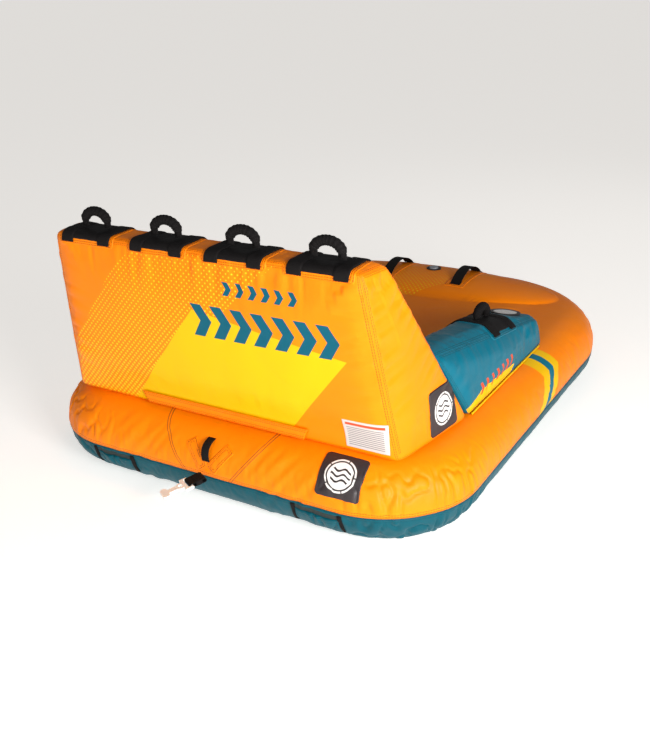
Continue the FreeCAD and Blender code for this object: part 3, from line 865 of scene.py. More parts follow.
def write_points(mesh: bpy.types.Mesh, points: np.ndarray) -> None:
    """Put new vertex places into a mesh."""
    mesh.vertices.foreach_set("co", points.astype(np.float32).ravel())
    mesh.update()


def seam_runs(mesh: bpy.types.Mesh) -> np.ndarray:
    """Distance along and from the nearest seam of each vertex."""
    corners = np.empty(len(mesh.loops) * 2, dtype=np.float32)
    mesh.uv_layers["Seam"].data.foreach_get("uv", corners)
    corners = corners.reshape(-1, 2)
    owners = np.empty(len(mesh.loops), dtype=np.int32)
    mesh.loops.foreach_get("vertex_index", owners)
    runs = np.zeros((len(mesh.vertices), 2))
    runs[owners] = corners
    return runs


def inflate(piece: bpy.types.Object, limit: np.ndarray, pressure: float = 4.0) -> None:
    """Blow a cover up as cloth, and keep each point within its own limit.

    Args:
        piece: the closed cover.
        limit: how far each vertex may move.
        pressure: pressure inside.
    """
    start = read_points(piece.data)
    modifier = piece.modifiers.new("inflate", "CLOTH")
    cloth = modifier.settings
    cloth.quality = 6
    cloth.mass = 0.3
    cloth.tension_stiffness = cloth.compression_stiffness = 25.0
    cloth.shear_stiffness = 10.0
    cloth.bending_stiffness = 0.6
    cloth.shrink_min = -0.015
    cloth.use_pressure = True
    cloth.uniform_pressure_force = pressure
    cloth.effector_weights.gravity = 0.0
    for step in range(1, SETTLE_STEPS + 1):
        bpy.context.scene.frame_set(step)
    settled = read_points(piece.evaluated_get(bpy.context.evaluated_depsgraph_get()).data)
    piece.modifiers.remove(modifier)
    bpy.context.scene.frame_set(1)
    moved = settled - start
    size = np.linalg.norm(moved, axis=1)
    write_points(
        piece.data, start + moved * np.minimum(1.0, limit / np.maximum(size, 1e-9))[:, None]
    )


def ripple(points: np.ndarray, scale: Sequence[float], seed: float) -> np.ndarray:
    """Smooth noise from -1 to 1 at each point, with its own wavelength on each axis."""
    step = np.asarray(points) / np.asarray(scale) + seed
    return np.array([noise.noise(Vector(p)) for p in step])


def smooth_step(value: np.ndarray, low: float, high: float) -> np.ndarray:
    """0 below low, 1 above high, and a soft rise between."""
    share = np.clip((value - low) / (high - low), 0, 1)
    return share * share * (3 - 2 * share)


def gather(away: np.ndarray, reach: float) -> np.ndarray:
    """Height of gathers at a distance from their seam: none on it, most at reach, then fading."""
    return (away / reach) * np.exp(1 - away / reach)


# ------------------------------------------------------------------ covers


@dataclass
class BaseCovers:
    """Upper and lower cover of the base tube and deck, joined at the side seam."""

    half_width: float = 0.832
    near: float = -0.981418
    far: float = 1.138582
    tube: float = 0.145
    near_corner: float = 0.195
    far_corner: float = 0.430
    seam: float = 0.134
    bolster: tuple[float, float] = (0.600, 0.205)
    bolster_y: float = 0.783582
    bolster_rise: float = 0.050
    counts: tuple[int, int, int, int, int] = (36, 20, 44, 33, 19)

    def ring(self, inset: float) -> tuple[np.ndarray, np.ndarray]:
        """Tube's centre line, moved inwards.

        Args:
            inset: how far it is moved in.

        Returns:
            Its points and outward normals in XY.
        """
        half = self.half_width - self.tube - inset
        low, high = self.near + self.tube + inset, self.far - self.tube - inset
        near, far = max(self.near_corner - inset, 0.03), max(self.far_corner - inset, 0.03)
        corners = (
            (half - near, low + near, near, -90), (half - far, high - far, far, 0),
            (-half + far, high - far, far, 90), (-half + near, low + near, near, 180)
        )
        front, near_arc, side, far_arc, back = self.counts
        arcs, runs = (near_arc, far_arc, far_arc, near_arc), (side, back, side, front)
        points, normals = [], []
        for number, (x, y, radius, start) in enumerate(corners):
            for step in range(arcs[number]):
                angle = math.radians(start + 90 * step / arcs[number])
                normals.append((math.cos(angle), math.sin(angle)))
                points.append((x + radius * normals[-1][0], y + radius * normals[-1][1]))
            angle = math.radians(start + 90)
            normal = (math.cos(angle), math.sin(angle))
            first = np.array((x + radius * normal[0], y + radius * normal[1]))
            nx, ny, nr, _ = corners[(number + 1) % 4]
            last = np.array((nx + nr * normal[0], ny + nr * normal[1]))
            for step in range(runs[number]):
                points.append(tuple(first + (last - first) * step / runs[number]))
                normals.append(normal)
        return np.array(points), np.array(normals)

    def shell(self) -> bpy.types.Object:
        """Closed pillow with its seam map, not yet blown up."""
        deck = (0.62, 0.54, 0.46, 0.38, 0.31, 0.245, 0.185, 0.13, 0.08, 0.037)
        first = math.degrees(math.asin((self.seam - self.tube) / self.tube))
        upper = np.linspace(90, first, 10)
        lower = np.linspace(first, -90, 8)[1:]
        rows, heights = [], []
        for inset in deck:
            ring, _ = self.ring(inset)
            rows.append(np.c_[ring, np.full(len(ring), 2 * self.tube)])
            heights.append(self.tube * math.radians(90 - first) + inset)
        centre, normals = self.ring(0)
        for angle in (*upper, *lower):
            turn = math.radians(angle)
            out = centre + normals * self.tube * math.cos(turn)
            rows.append(np.c_[out, np.full(len(out), self.tube + self.tube * math.sin(turn))])
            heights.append(self.tube * math.radians(angle - first))
        for inset in deck[::-1]:
            ring, _ = self.ring(inset)
            rows.append(np.c_[ring, np.zeros(len(ring))])
            heights.append(-self.tube * math.radians(90 + first) - inset)
        outer = centre + normals * self.tube
        steps = np.linalg.norm(np.roll(outer, -1, axis=0) - outer, axis=1)
        run = np.r_[0, np.cumsum(steps)]
        count, faces, kinds, seam = len(outer), [], [], []
        split = len(deck) + len(upper) - 1
        for row in range(len(rows) - 1):
            for j in range(count):
                k = (j + 1) % count
                faces.append(
                    [row * count + j, (row + 1) * count + j, (row + 1) * count + k, row * count + k]
                )
                kinds.append(int(row >= split))
                seam += [
                    (run[j], heights[row]), (run[j], heights[row + 1]),
                    (run[j + 1], heights[row + 1]), (run[j + 1], heights[row])
                ]
        for row, kind in ((0, 0), (len(rows) - 1, 1)):
            faces.append([row * count + j for j in range(count)])
            kinds.append(kind)
            seam += [(run[j], heights[row]) for j in range(count)]
        shell = make_piece(
            "base_shell", np.vstack(rows), faces, (Finish.TUBE_NYLON, Finish.TEAL_NYLON), kinds,
            {"Seam": np.array(seam)}
        )
        face_outwards(shell)
        split_wide_faces(shell)
        return shell

    def detail(self, mesh: bpy.types.Mesh) -> None:
        """Gathers along the side seam, soft creases and the leg bolster."""
        points, normals, runs = read_points(mesh), read_points(mesh, "normal"), seam_runs(mesh)
        away = np.abs(runs[:, 1])
        corner = 0.40 + 1.15 * smooth_step(
            np.abs(points[:, 0]), 0.34, 0.62
        ) * smooth_step(-points[:, 1], 0.45, 0.75) + 0.35 * smooth_step(points[:, 1], 0.55, 0.95)
        reach = np.where(runs[:, 1] > 0, 0.040, 0.034) * (0.8 + 0.5 * corner)
        fine = ripple(points, (0.036, 0.036, 0.50), 3.7)
        tucks = np.exp(-((fine / 0.11) ** 2))
        broad = ripple(points, (0.080, 0.080, 0.30), 11.3)
        side = 1 - smooth_step(points[:, 2], 0.24, 0.285)
        lift = corner * gather(away, reach) * (0.0040 * fine - 0.0056 * tucks) * side
        lift += 0.0024 * broad * np.exp(-((away - 0.07) / 0.06) ** 2) * corner * side
        lift += 0.0014 * ripple(points, (0.16, 0.16, 0.16), 23.1) * side
        slant = np.c_[
            points[:, 0] - 0.75 * (points[:, 2] - 0.14), points[:, 2] * 0.18, points[:, 1] * 0.2
        ]
        pulled = smooth_step(np.abs(points[:, 0]), 0.12, 0.20) * (
            1 - smooth_step(np.abs(points[:, 0]), 0.36, 0.44)
        ) * smooth_step(-points[:, 1], 0.80, 0.86)
        lift += 0.0050 * ripple(slant, (0.034, 0.034, 0.034), 41.7) * pulled * side
        lift -= 0.0022 * np.exp(-((away / 0.006) ** 2))
        points += normals * lift[:, None]
        rim = (points[:, 0] / (self.bolster[0] * 1.03)) ** 2 + (
            (points[:, 1] - self.bolster_y) / (self.bolster[1] * 1.03)
        ) ** 2
        dome = TOP + self.bolster_rise * 1.06 * np.sqrt(np.clip(1 - rim, 0, 1))
        upper = (points[:, 2] > 0.27) & (rim < 1)
        points[upper, 2] = np.maximum(points[upper, 2], dome[upper])
        points[:, 2] = np.maximum(points[:, 2], 0.0)
        write_points(mesh, points)

    def half(
        self, shell: bpy.types.Object, name: str, kind: int, finish: Finish
    ) -> bpy.types.Object:
        """Cut one cover out of the shell and turn its edge in at the seam.

        Args:
            shell: the whole pillow.
            name: the cover's name.
            kind: number of its finish in the shell.
            finish: its finish.

        Returns:
            The cover.
        """
        cut = bmesh.new()
        cut.from_mesh(shell.data)
        bmesh.ops.delete(
            cut, geom=[f for f in cut.faces if f.material_index != kind], context="FACES"
        )
        edge = [e for e in cut.edges if e.is_boundary]
        hem = bmesh.ops.extrude_edge_only(cut, edges=edge)["geom"]
        cut.normal_update()
        for vertex in [g for g in hem if isinstance(g, bmesh.types.BMVert)]:
            inward = Vector((vertex.co.x, vertex.co.y - 0.08, 0)).normalized()
            vertex.co -= inward * 0.009
        for face in cut.faces:
            face.material_index = 0
            face.smooth = True
        mesh = bpy.data.meshes.new(name)
        cut.to_mesh(mesh)
        cut.free()
        mesh.materials.append(finish.material())
        cover = bpy.data.objects.new(name, mesh)
        bpy.context.scene.collection.objects.link(cover)
        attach(cover, "tube")
        return cover

    def build(self) -> tuple[bpy.types.Object, bpy.types.Object]:
        """Make both covers.

        Returns:
            The upper and the lower cover.
        """
        shell = self.shell()
        points = read_points(shell.data)
        limit = 0.004 + 0.004 * (points[:, 2] > 0.27) * (np.abs(points[:, 0]) < 0.5)
        limit[points[:, 2] < 0.03] = 0.0
        inflate(shell, limit)
        line_with_bladder(shell, "base_bladder_film", BASE_FILM_DEPTH, "base_bladder")
        apply_modifier(shell, "SUBSURF", levels=2, render_levels=2)
        self.detail(shell.data)
        upper = self.half(shell, "upper_cover_cloth", 0, Finish.TUBE_NYLON)
        lower = self.half(shell, "lower_cover_cloth", 1, Finish.LOWER_NYLON)
        bpy.data.objects.remove(shell, do_unlink=True)
        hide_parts("upper_cover", "bolster_cover")
        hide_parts("lower_cover")
        return upper, lower


Plane = tuple[np.ndarray, float]


def plane_through(
    a: Sequence[float], b: Sequence[float], c: Sequence[float], inside: Sequence[float]
) -> Plane:
    """Plane through three points, facing away from a point inside.

    Returns:
        Its outward unit normal and its distance from the origin.
    """
    a, b, c, inside = (np.asarray(p, dtype=float) for p in (a, b, c, inside))
    normal = np.cross(b - a, c - a)
    normal /= np.linalg.norm(normal)
    if normal @ (inside - a) > 0:
        normal = -normal
    return normal, float(normal @ a)


@dataclass
class Cushion:
    """Six-panel padded cover between planes in the order bottom, top, front, back, left, right."""

    planes: tuple[Plane, ...]
    rounding: float
    counts: tuple[int, int, int]
    crowns: tuple[float, float, float, float, float, float]
    sharp: tuple[int, ...] = (0,)
    calm: Callable[[np.ndarray], np.ndarray] | None = None
    wrinkle: float = 0.003
    seed: float = 1.0
    finishes: tuple[Finish, ...] = (Finish.ORANGE_NYLON,)
    kinds: tuple[int, ...] = (0, 0, 0, 0, 0, 0)

    def corner(self, sx: int, sy: int, sz: int) -> np.ndarray:
        """Where three of the planes meet."""
        three = (self.planes[sz], self.planes[2 + sy], self.planes[4 + sx])
        return np.linalg.solve(np.array([p[0] for p in three]), np.array([p[1] for p in three]))

    def rounded(self, points: np.ndarray) -> np.ndarray:
        """Round every edge but those of the sharp planes."""
        core = points.copy()
        for _ in range(40):
            for number, (normal, reach) in enumerate(self.planes):
                keep = 0.0 if number in self.sharp else self.rounding
                over = np.maximum(core @ normal - (reach - keep), 0)
                core -= over[:, None] * normal
        out = points - core
        size = np.linalg.norm(out, axis=1)
        return core + out * np.minimum(1.0, self.rounding / np.maximum(size, 1e-9))[:, None]

    def build(self, name: str) -> bpy.types.Object:
        """Make the cushion's cover as one closed mesh."""
        nx, ny, nz = self.counts
        corners = {(i, j, k): self.corner(i, j, k) for i in (0, 1) for j in (0, 1) for k in (0, 1)}

        def place(i: int, j: int, k: int) -> np.ndarray:
            """Point of the block's lattice."""
            u, v, w = i / nx, j / ny, k / nz
            total = np.zeros(3)
            for (a, b, c), corner in corners.items():
                total += corner * (u if a else 1 - u) * (v if b else 1 - v) * (w if c else 1 - w)
            return total

        numbers: dict[tuple[int, int, int], int] = {}
        flat, bulge = [], []
        faces, kinds, seam = [], [], []

        def vertex(i: int, j: int, k: int) -> int:
            """Number of a lattice point on the surface."""
            key = (i, j, k)
            if key not in numbers:
                numbers[key] = len(flat)
                flat.append(place(*key))
                bulge.append(np.zeros(3))
            return numbers[key]

        for panel in range(6):
            axis, high = (2, 1, 0)[panel // 2], panel % 2
            sizes = [n for a, n in enumerate((nx, ny, nz)) if a != axis]
            fixed = (nx, ny, nz)[axis] * high

            def key(p: int, q: int) -> tuple[int, int, int]:
                """Lattice key of a point on this panel."""
                rest = [p, q]
                rest.insert(axis, fixed)
                return tuple(rest)

            four = [
                place(*key(p, q)) for p,
                q in ((0, 0), (sizes[0], 0), (sizes[0], sizes[1]), (0, sizes[1]))
            ]
            for p in range(sizes[0] + 1):
                for q in range(sizes[1] + 1):
                    number = vertex(*key(p, q))
                    u, v = p / sizes[0], q / sizes[1]
                    if 0 < u < 1 and 0 < v < 1:
                        bulge[number] = self.planes[panel][0] * self.crowns[panel] * (
                            16 * u * (1 - u) * v * (1 - v)
                        ) ** 0.6
            for p in range(sizes[0]):
                for q in range(sizes[1]):
                    loop = [key(p, q), key(p + 1, q), key(p + 1, q + 1), key(p, q + 1)]
                    faces.append([vertex(*item) for item in loop])
                    kinds.append(self.kinds[panel])
                    spots = [place(*item) for item in loop]
                    middle = sum(spots) / 4
                    best = None
                    for a, b in zip(four, four[1:] + four[:1]):
                        way = (b - a) / np.linalg.norm(b - a)
                        gap = np.linalg.norm(middle - a - way * ((middle - a) @ way))
                        if best is None or gap < best[0]:
                            best = (gap, a, way)
                    for spot in spots:
                        run = (spot - best[1]) @ best[2]
                        seam.append((run, np.linalg.norm(spot - best[1] - best[2] * run)))
        points = self.rounded(np.array(flat)) + self.mask(np.array(flat))[:, None] * np.array(bulge)
        cover = make_piece(name, points, faces, self.finishes, kinds, {"Seam": np.array(seam)})
        face_outwards(cover)
        apply_modifier(cover, "SUBSURF", levels=1, render_levels=1)
        start = read_points(cover.data)
        runs = seam_runs(cover.data)
        inflate(cover, 0.009 * self.mask(start) * smooth_step(runs[:, 1], 0.0, 0.05))
        line_with_bladder(
            cover, name.replace("cloth", "bladder_film"), CUSHION_FILM_DEPTH, name.replace("cloth", "bladder")
        )
        apply_modifier(cover, "SUBSURF", levels=1, render_levels=1)
        self.detail(cover.data)
        return cover

    def mask(self, points: np.ndarray) -> np.ndarray:
        """Where the cover may swell: 0 under fittings, 1 elsewhere."""
        return self.calm(points) if self.calm else np.ones(len(points))

    def detail(self, mesh: bpy.types.Mesh) -> None:
        """Gathers that run in from the seams, and broad soft folds."""
        points, normals, runs = read_points(mesh), read_points(mesh, "normal"), seam_runs(mesh)
        fine = np.array(
            [
                noise.noise(
                    Vector((r[0] / 0.040, r[1] / 0.30, self.seed + 7 * n[0] + 5 * n[1]))
                ) for r,
                n in zip(runs, np.round(normals))
            ]
        )
        broad = ripple(points, (0.11, 0.11, 0.16), self.seed)
        tucks = np.exp(-((fine / 0.11) ** 2))
        lift = self.wrinkle * gather(np.abs(runs[:, 1]), 0.036) * (
            0.75 * fine - 0.62 * tucks
        ) + 0.35 * self.wrinkle * broad * smooth_step(runs[:, 1], 0.0, 0.06)
        points += normals * (lift * self.mask(points))[:, None]
        write_points(mesh, points)


# ---------------------------------------------------------- what lies on them


@dataclass
class Bed:
    """Surface that flat shapes are laid on: a table of points and normals over (a, b)."""

    a: np.ndarray
    b: np.ndarray
    points: np.ndarray
    normals: np.ndarray

    @staticmethod
    def wrapped(
        tree: BVHTree, centre: Sequence[float], along: Sequence[float], up: Sequence[float],
        half_a: float, half_b: float, swing: float = 110
    ) -> "Bed":
        """Bed that bends round a cover, with b measured over its surface.

        Args:
            tree: the cover.
            centre: a point inside the cover below the middle.
            along: direction of a.
            up: direction from the centre to the middle.
            half_a: reach along a.
            half_b: reach along b.
            swing: degrees to look to each side.

        Returns:
            The bed.
        """
        along, up, centre = Vector(along).normalized(), Vector(up).normalized(), Vector(centre)
        side = up.cross(along).normalized()
        marks = np.linspace(-half_a, half_a, 41)
        wanted = np.linspace(-half_b, half_b, 41)
        rows, leans = [], []
        for mark in marks:
            hits, faces, angles = [], [], []
            for degrees in np.linspace(-swing, swing, 161):
                turn = math.radians(degrees)
                way = up * math.cos(turn) + side * math.sin(turn)
                hit, normal, _, _ = tree.ray_cast(centre + along * mark, way)
                if hit is not None:
                    hits.append(hit)
                    faces.append(normal)
                    angles.append(degrees)
            line, lean = np.array(hits), np.array(faces)
            arc = np.r_[0, np.cumsum(np.linalg.norm(np.diff(line, axis=0), axis=1))]
            arc -= np.interp(0, angles, arc)
            rows.append(np.stack([np.interp(wanted, arc, line[:, i]) for i in range(3)], axis=1))
            leans.append(np.stack([np.interp(wanted, arc, lean[:, i]) for i in range(3)], axis=1))
        return Bed(marks, wanted, np.array(rows), np.array(leans))

    @staticmethod
    def flat(
        tree: BVHTree, middle: Sequence[float], along: Sequence[float], normal: Sequence[float],
        half_a: float, half_b: float
    ) -> "Bed":
        """Bed seen straight down on a cover, with the same measures as wrapped."""
        along, normal, middle = Vector(along).normalized(), Vector(
            normal
        ).normalized(), Vector(middle)
        side = normal.cross(along).normalized()
        marks, wanted = np.linspace(-half_a, half_a, 31), np.linspace(-half_b, half_b, 31)
        rows, leans = [], []
        for mark in marks:
            row, lean = [], []
            for b in wanted:
                spot = middle + along * mark + side * b
                hit, face, _, _ = tree.ray_cast(spot + normal * 0.12, -normal)
                row.append(hit if hit is not None else spot)
                lean.append(face if face is not None else normal)
            rows.append([tuple(p) for p in row])
            leans.append([tuple(p) for p in lean])
        return Bed(marks, wanted, np.array(rows), np.array(leans))

    def at(self, a: np.ndarray, b: np.ndarray) -> tuple[np.ndarray, np.ndarray]:
        """Points and unit normals at places on the bed."""
        i = np.clip((a - self.a[0]) / (self.a[1] - self.a[0]), 0, len(self.a) - 1.001)
        j = np.clip((b - self.b[0]) / (self.b[1] - self.b[0]), 0, len(self.b) - 1.001)
        i0, j0 = i.astype(int), j.astype(int)
        fi, fj = (i - i0)[:, None], (j - j0)[:, None]
        found = []
        for table in (self.points, self.normals):
            low = table[i0, j0] * (1 - fj) + table[i0, j0 + 1] * fj
            high = table[i0 + 1, j0] * (1 - fj) + table[i0 + 1, j0 + 1] * fj
            found.append(low * (1 - fi) + high * fi)
        found[1] /= np.linalg.norm(found[1], axis=1)[:, None]
        return found[0], found[1]


@dataclass
class Patch:
    """Flat shape laid on a bed, with a rounded edge and its own map in metres."""

    half_a: float
    half_b: float
    corner: float
    thickness: float
    finish: Finish
    lift: float = 0.0
    cells: tuple[int, int] = (28, 28)
    centre: tuple[float, float] = (0.0, 0.0)
    turn: float = 0.0
    relief: Callable[[np.ndarray, np.ndarray], np.ndarray] | None = None

    def lay(self, name: str, bed: Bed, body: str = "tube") -> bpy.types.Object:
        """Make the patch on its bed as one closed shell.

        Args:
            name: the piece's name.
            bed: what it lies on.
            body: the body it rides on.

        Returns:
            The piece.
        """
        na, nb = self.cells
        rim = 0.004

        def marks(half: float, count: int) -> np.ndarray:
            """Grid marks, close together by the edge."""
            inner = np.linspace(-half + rim, half - rim, count - 1)
            return np.r_[-half, -half + rim * 0.35, inner, half - rim * 0.35, half]

        a, b = np.meshgrid(marks(self.half_a, na), marks(self.half_b, nb), indexing="ij")
        rows, columns = a.shape
        a, b = a.ravel(), b.ravel()
        core_a = np.clip(a, -(self.half_a - self.corner), self.half_a - self.corner)
        core_b = np.clip(b, -(self.half_b - self.corner), self.half_b - self.corner)
        da, db = a - core_a, b - core_b
        size, most = np.hypot(da, db), np.maximum(np.abs(da), np.abs(db))
        shrink = np.where(size > 0, most / np.maximum(size, 1e-9), 1.0)
        a, b = core_a + da * shrink, core_b + db * shrink
        edge = np.minimum.reduce(
            [
                self.corner - np.hypot(da, db) * shrink, self.half_a - np.abs(core_a),
                self.half_b - np.abs(core_b)
            ]
        )
        edge = np.where(
            (da == 0) | (db == 0), np.minimum(self.half_a - np.abs(a), self.half_b - np.abs(b)),
            self.corner - np.hypot(da, db) * shrink
        )
        edge = np.maximum(edge, 0)
        round_off = np.sqrt(1 - (1 - np.clip(edge / rim, 0, 1)) ** 2)
        height = self.lift + self.thickness * (0.3 + 0.7 * round_off)
        if self.relief:
            height = height + self.relief(a, b) * round_off
        cos, sin = math.cos(self.turn), math.sin(self.turn)
        place_a = self.centre[0] + a * cos - b * sin
        place_b = self.centre[1] + a * sin + b * cos
        base, normals = bed.at(place_a, place_b)
        top = base + normals * height[:, None]
        under = base + normals * (self.lift - 0.0008)
        points = np.vstack([top, under])
        shift = rows * columns
        faces, lie, seam = [], [], []

        def add(face: list[int]) -> None:
            """Add a face with its maps."""
            faces.append(face)
            for number in face:
                spot = number % shift
                lie.append((a[spot], b[spot]))
                seam.append((a[spot] if abs(b[spot]) > abs(a[spot]) else b[spot], edge[spot]))

        for i in range(rows - 1):
            for j in range(columns - 1):
                n = i * columns + j
                add([n, n + columns, n + columns + 1, n + 1])
                add([n + shift + 1, n + shift + columns + 1, n + shift + columns, n + shift])
        border = [i * columns for i in range(rows)] + [
            (rows - 1) * columns + j for j in range(1, columns)
        ]
        border += [
            i * columns + columns - 1 for i in range(rows - 2, -1, -1)
        ] + [j for j in range(columns - 2, 0, -1)]
        for n, m in zip(border, border[1:] + border[:1]):
            add([n, n + shift, m + shift, m])
        piece = make_piece(
            name, points, faces, (self.finish,), None,
            {"Lie": np.array(lie), "Seam": np.array(seam)}
        )
        face_outwards(piece)
        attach(piece, body)
        return piece


def sweep(
    name: str, path: np.ndarray, side: np.ndarray, up: np.ndarray, section: np.ndarray,
    finish: Finish, scale: np.ndarray | None = None, closed: bool = False
) -> bpy.types.Object:
    """Sweep a closed section along a path.

    Args:
        name: the piece's name.
        path: points of the path.
        side: unit direction of the section's first axis at each point.
        up: unit direction of its second axis.
        section: points of the section.
        finish: the piece's finish.
        scale: factor of the section's size at each point.
        closed: whether the path ends where it starts.

    Returns:
        The piece, closed at its ends.
    """
    scale = np.ones((len(path), 2)) if scale is None else scale
    rings = path[:, None, :] + side[:, None, :] * (
        section[None, :, 0] * scale[:, 0:1]
    )[:, :, None] + up[:, None, :] * (section[None, :, 1] * scale[:, 1:2])[:, :, None]
    count, m = len(path), len(section)
    steps = np.r_[0, np.cumsum(np.linalg.norm(np.diff(path, axis=0), axis=1))]
    around = np.r_[0, np.cumsum(np.linalg.norm(np.roll(section, -1, axis=0) - section, axis=1))]
    faces, lie = [], []
    for i in range(count if closed else count - 1):
        k = (i + 1) % count
        far = steps[i] + 0.004 if k == 0 else steps[k]
        for j in range(m):
            n = (j + 1) % m
            faces.append([i * m + j, i * m + n, k * m + n, k * m + j])
            lie += [
                (steps[i], around[j]), (steps[i], around[j + 1]), (far, around[j + 1]),
                (far, around[j])
            ]
    if not closed:
        for i in (0, count - 1):
            faces.append([i * m + j for j in range(m)])
            lie += [(steps[i], around[j]) for j in range(m)]
    piece = make_piece(name, rings.reshape(-1, 3), faces, (finish,), None, {"Lie": np.array(lie)})
    face_outwards(piece)
    return piece


def tape_section(width: float, thickness: float) -> np.ndarray:
    """Section of flat webbing with soft edges and slightly raised selvedges."""
    half, t = width / 2, thickness / 2
    return np.array(
        [
            (-half, -t * 0.5), (-half + t, -t), (0, -t * 0.85), (half - t, -t), (half, -t * 0.5),
            (half, t * 0.5), (half - t, t), (half * 0.9, t), (half * 0.8, t * 0.8), (0, t * 0.8),
            (-half * 0.8, t * 0.8), (-half * 0.9, t), (-half + t, t), (-half, t * 0.5)
        ]
    )


def round_section(radius: float, count: int = 20) -> np.ndarray:
    """Round section."""
    turn = np.linspace(0, math.tau, count, endpoint=False)
    return radius * np.c_[np.cos(turn), np.sin(turn)]


def tree_of(piece: bpy.types.Object) -> BVHTree:
    """Search tree of a piece's faces."""
    mesh = piece.data
    return BVHTree.FromPolygons(
        [v.co.copy() for v in mesh.vertices], [tuple(p.vertices) for p in mesh.polygons]
    )


@dataclass
class Backrest:
    """Padded backrest that leans towards the riders."""

    front_base: float = 0.115 + SHIFT
    front_top: float = 0.024 + SHIFT
    back_base: float = 0.523 + SHIFT
    back_top: float = 0.160 + SHIFT
    height: float = 0.623
    halves: tuple[float, float, float] = (0.597, 0.664, 0.728)

    def planes(self) -> tuple[Plane, ...]:
        """The cover's six planes."""
        top = TOP + self.height
        middle = (0, (self.front_base + self.back_base) / 2, TOP + self.height / 3)
        near, rear = (self.halves[1], self.front_base, TOP), (self.halves[2], self.back_base, TOP)
        high = (self.halves[0], (self.front_top + self.back_top) / 2, top)
        right, reach = plane_through(near, rear, high, middle)
        return (
            (np.array((0.0, 0.0, -1.0)), -TOP),
            (np.array((0.0, 0.0, 1.0)), top),
            plane_through((0, self.front_base, TOP), (0, self.front_top, top), (1, self.front_base, TOP), middle),
            plane_through((0, self.back_base, TOP), (0, self.back_top, top), (1, self.back_base, TOP), middle),
            (right * np.array((-1, 1, 1)), reach),
            (right, reach),
        )

    def calm(self, points: np.ndarray) -> np.ndarray:
        """Keep the cover flat by the flap, the pads and the armrests."""
        low = smooth_step(points[:, 2], 0.345, 0.46)
        front = points[:, 1] < self.front_top + (
            TOP + self.height - points[:, 2]
        ) / self.height * 0.091 + 0.06
        side = np.where(front, low, smooth_step(points[:, 2], 0.30, 0.40))
        return side * (1 - 0.7 * smooth_step(points[:, 2], 0.86, 0.90))

    def build(self) -> bpy.types.Object:
        """Make the cover."""
        cushion = Cushion(
            self.planes(), 0.026, (42, 9, 20), (0.0, 0.004, 0.016, 0.012, 0.012, 0.012), (0,),
            self.calm, 0.0070, 2.0, (Finish.ORANGE_NYLON, Finish.FRONT_NYLON), (0, 0, 1, 0, 0, 0)
        )
        cover = cushion.build("backrest_cloth")
        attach(cover, "tube")
        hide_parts("backrest_cover")
        return cover


@dataclass
class Armrest:
    """Teal armrest between the backrest and the far deck."""

    side: Side
    inner: float = 0.455
    outer: float = 0.722
    lean: float = 0.2255
    near: tuple[float, float] = (0.400 + SHIFT, 0.267)
    far: tuple[float, float] = (1.270 + SHIFT, 0.113)

    def planes(self) -> tuple[Plane, ...]:
        """The cover's six planes."""
        sign = self.side.value
        middle = (
            sign * (self.inner + self.outer) / 2, (self.near[0] + self.far[0]) / 2,
            TOP + self.far[1] / 2
        )
        back = Backrest().planes()[3]

        def wall(x: float, lean: float) -> Plane:
            """Leaning side wall through the foot at x."""
            return plane_through(
                (sign * x, 0, TOP), (sign * (x + lean), 0, TOP + 1), (sign * x, 1, TOP), middle
            )

        walls = [wall(self.inner, self.lean), wall(self.outer, -self.lean)]
        if self.side is Side.LEFT:
            walls.reverse()
        return (
            (np.array((0.0, 0.0, -1.0)), -TOP),
            plane_through((0, self.near[0], TOP + self.near[1]), (0, self.far[0], TOP + self.far[1]), (1, self.near[0], TOP + self.near[1]), middle),
            (-back[0], -back[1]),
            (np.array((0.0, 1.0, 0.0)), self.far[0]),
            walls[0],
            walls[1],
        )

    def calm(self, points: np.ndarray) -> np.ndarray:
        """Keep the cover flat under the valve and along its foot."""
        valve = np.hypot(points[:, 0] - self.side.value * 0.5885, points[:, 1] - 0.2046)
        return smooth_step(valve, 0.06, 0.12) * smooth_step(points[:, 2], 0.292, 0.34)

    def build(self) -> bpy.types.Object:
        """Make the cover."""
        name = self.side.name.lower()
        outer = 5 if self.side is Side.RIGHT else 4
        kinds = tuple(1 if panel == outer else 0 for panel in range(6))
        cushion = Cushion(
            self.planes(), 0.038, (9, 28, 8), (0.0, 0.008, 0.0, 0.008, 0.008, 0.010), (0, 2),
            self.calm, 0.0032, 5.0 + outer, (Finish.TEAL_NYLON, Finish.ARM_NYLON), kinds
        )
        cover = cushion.build(f"{name}_armrest_cloth")
        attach(cover, "tube")
        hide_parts(f"{name}_armrest_cover")
        self.piping(name)
        return cover

    def piping(self, name: str) -> None:
        """Yellow piping along the foot of the outer wall."""
        sign = self.side.value
        y = np.linspace(-0.445, self.far[0] - 0.05, 60)
        path = np.c_[np.full(60, sign * (self.outer - 0.001)), y, np.full(60, TOP + 0.004)]
        side = np.tile((sign * 1.0, 0.0, 0.0), (60, 1))
        up = np.tile((0.0, 0.0, 1.0), (60, 1))
        piece = sweep(
            f"{name}_armrest_piping", path, side, up, round_section(0.0032, 10), Finish.PIPING
        )
        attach(piece, "tube")


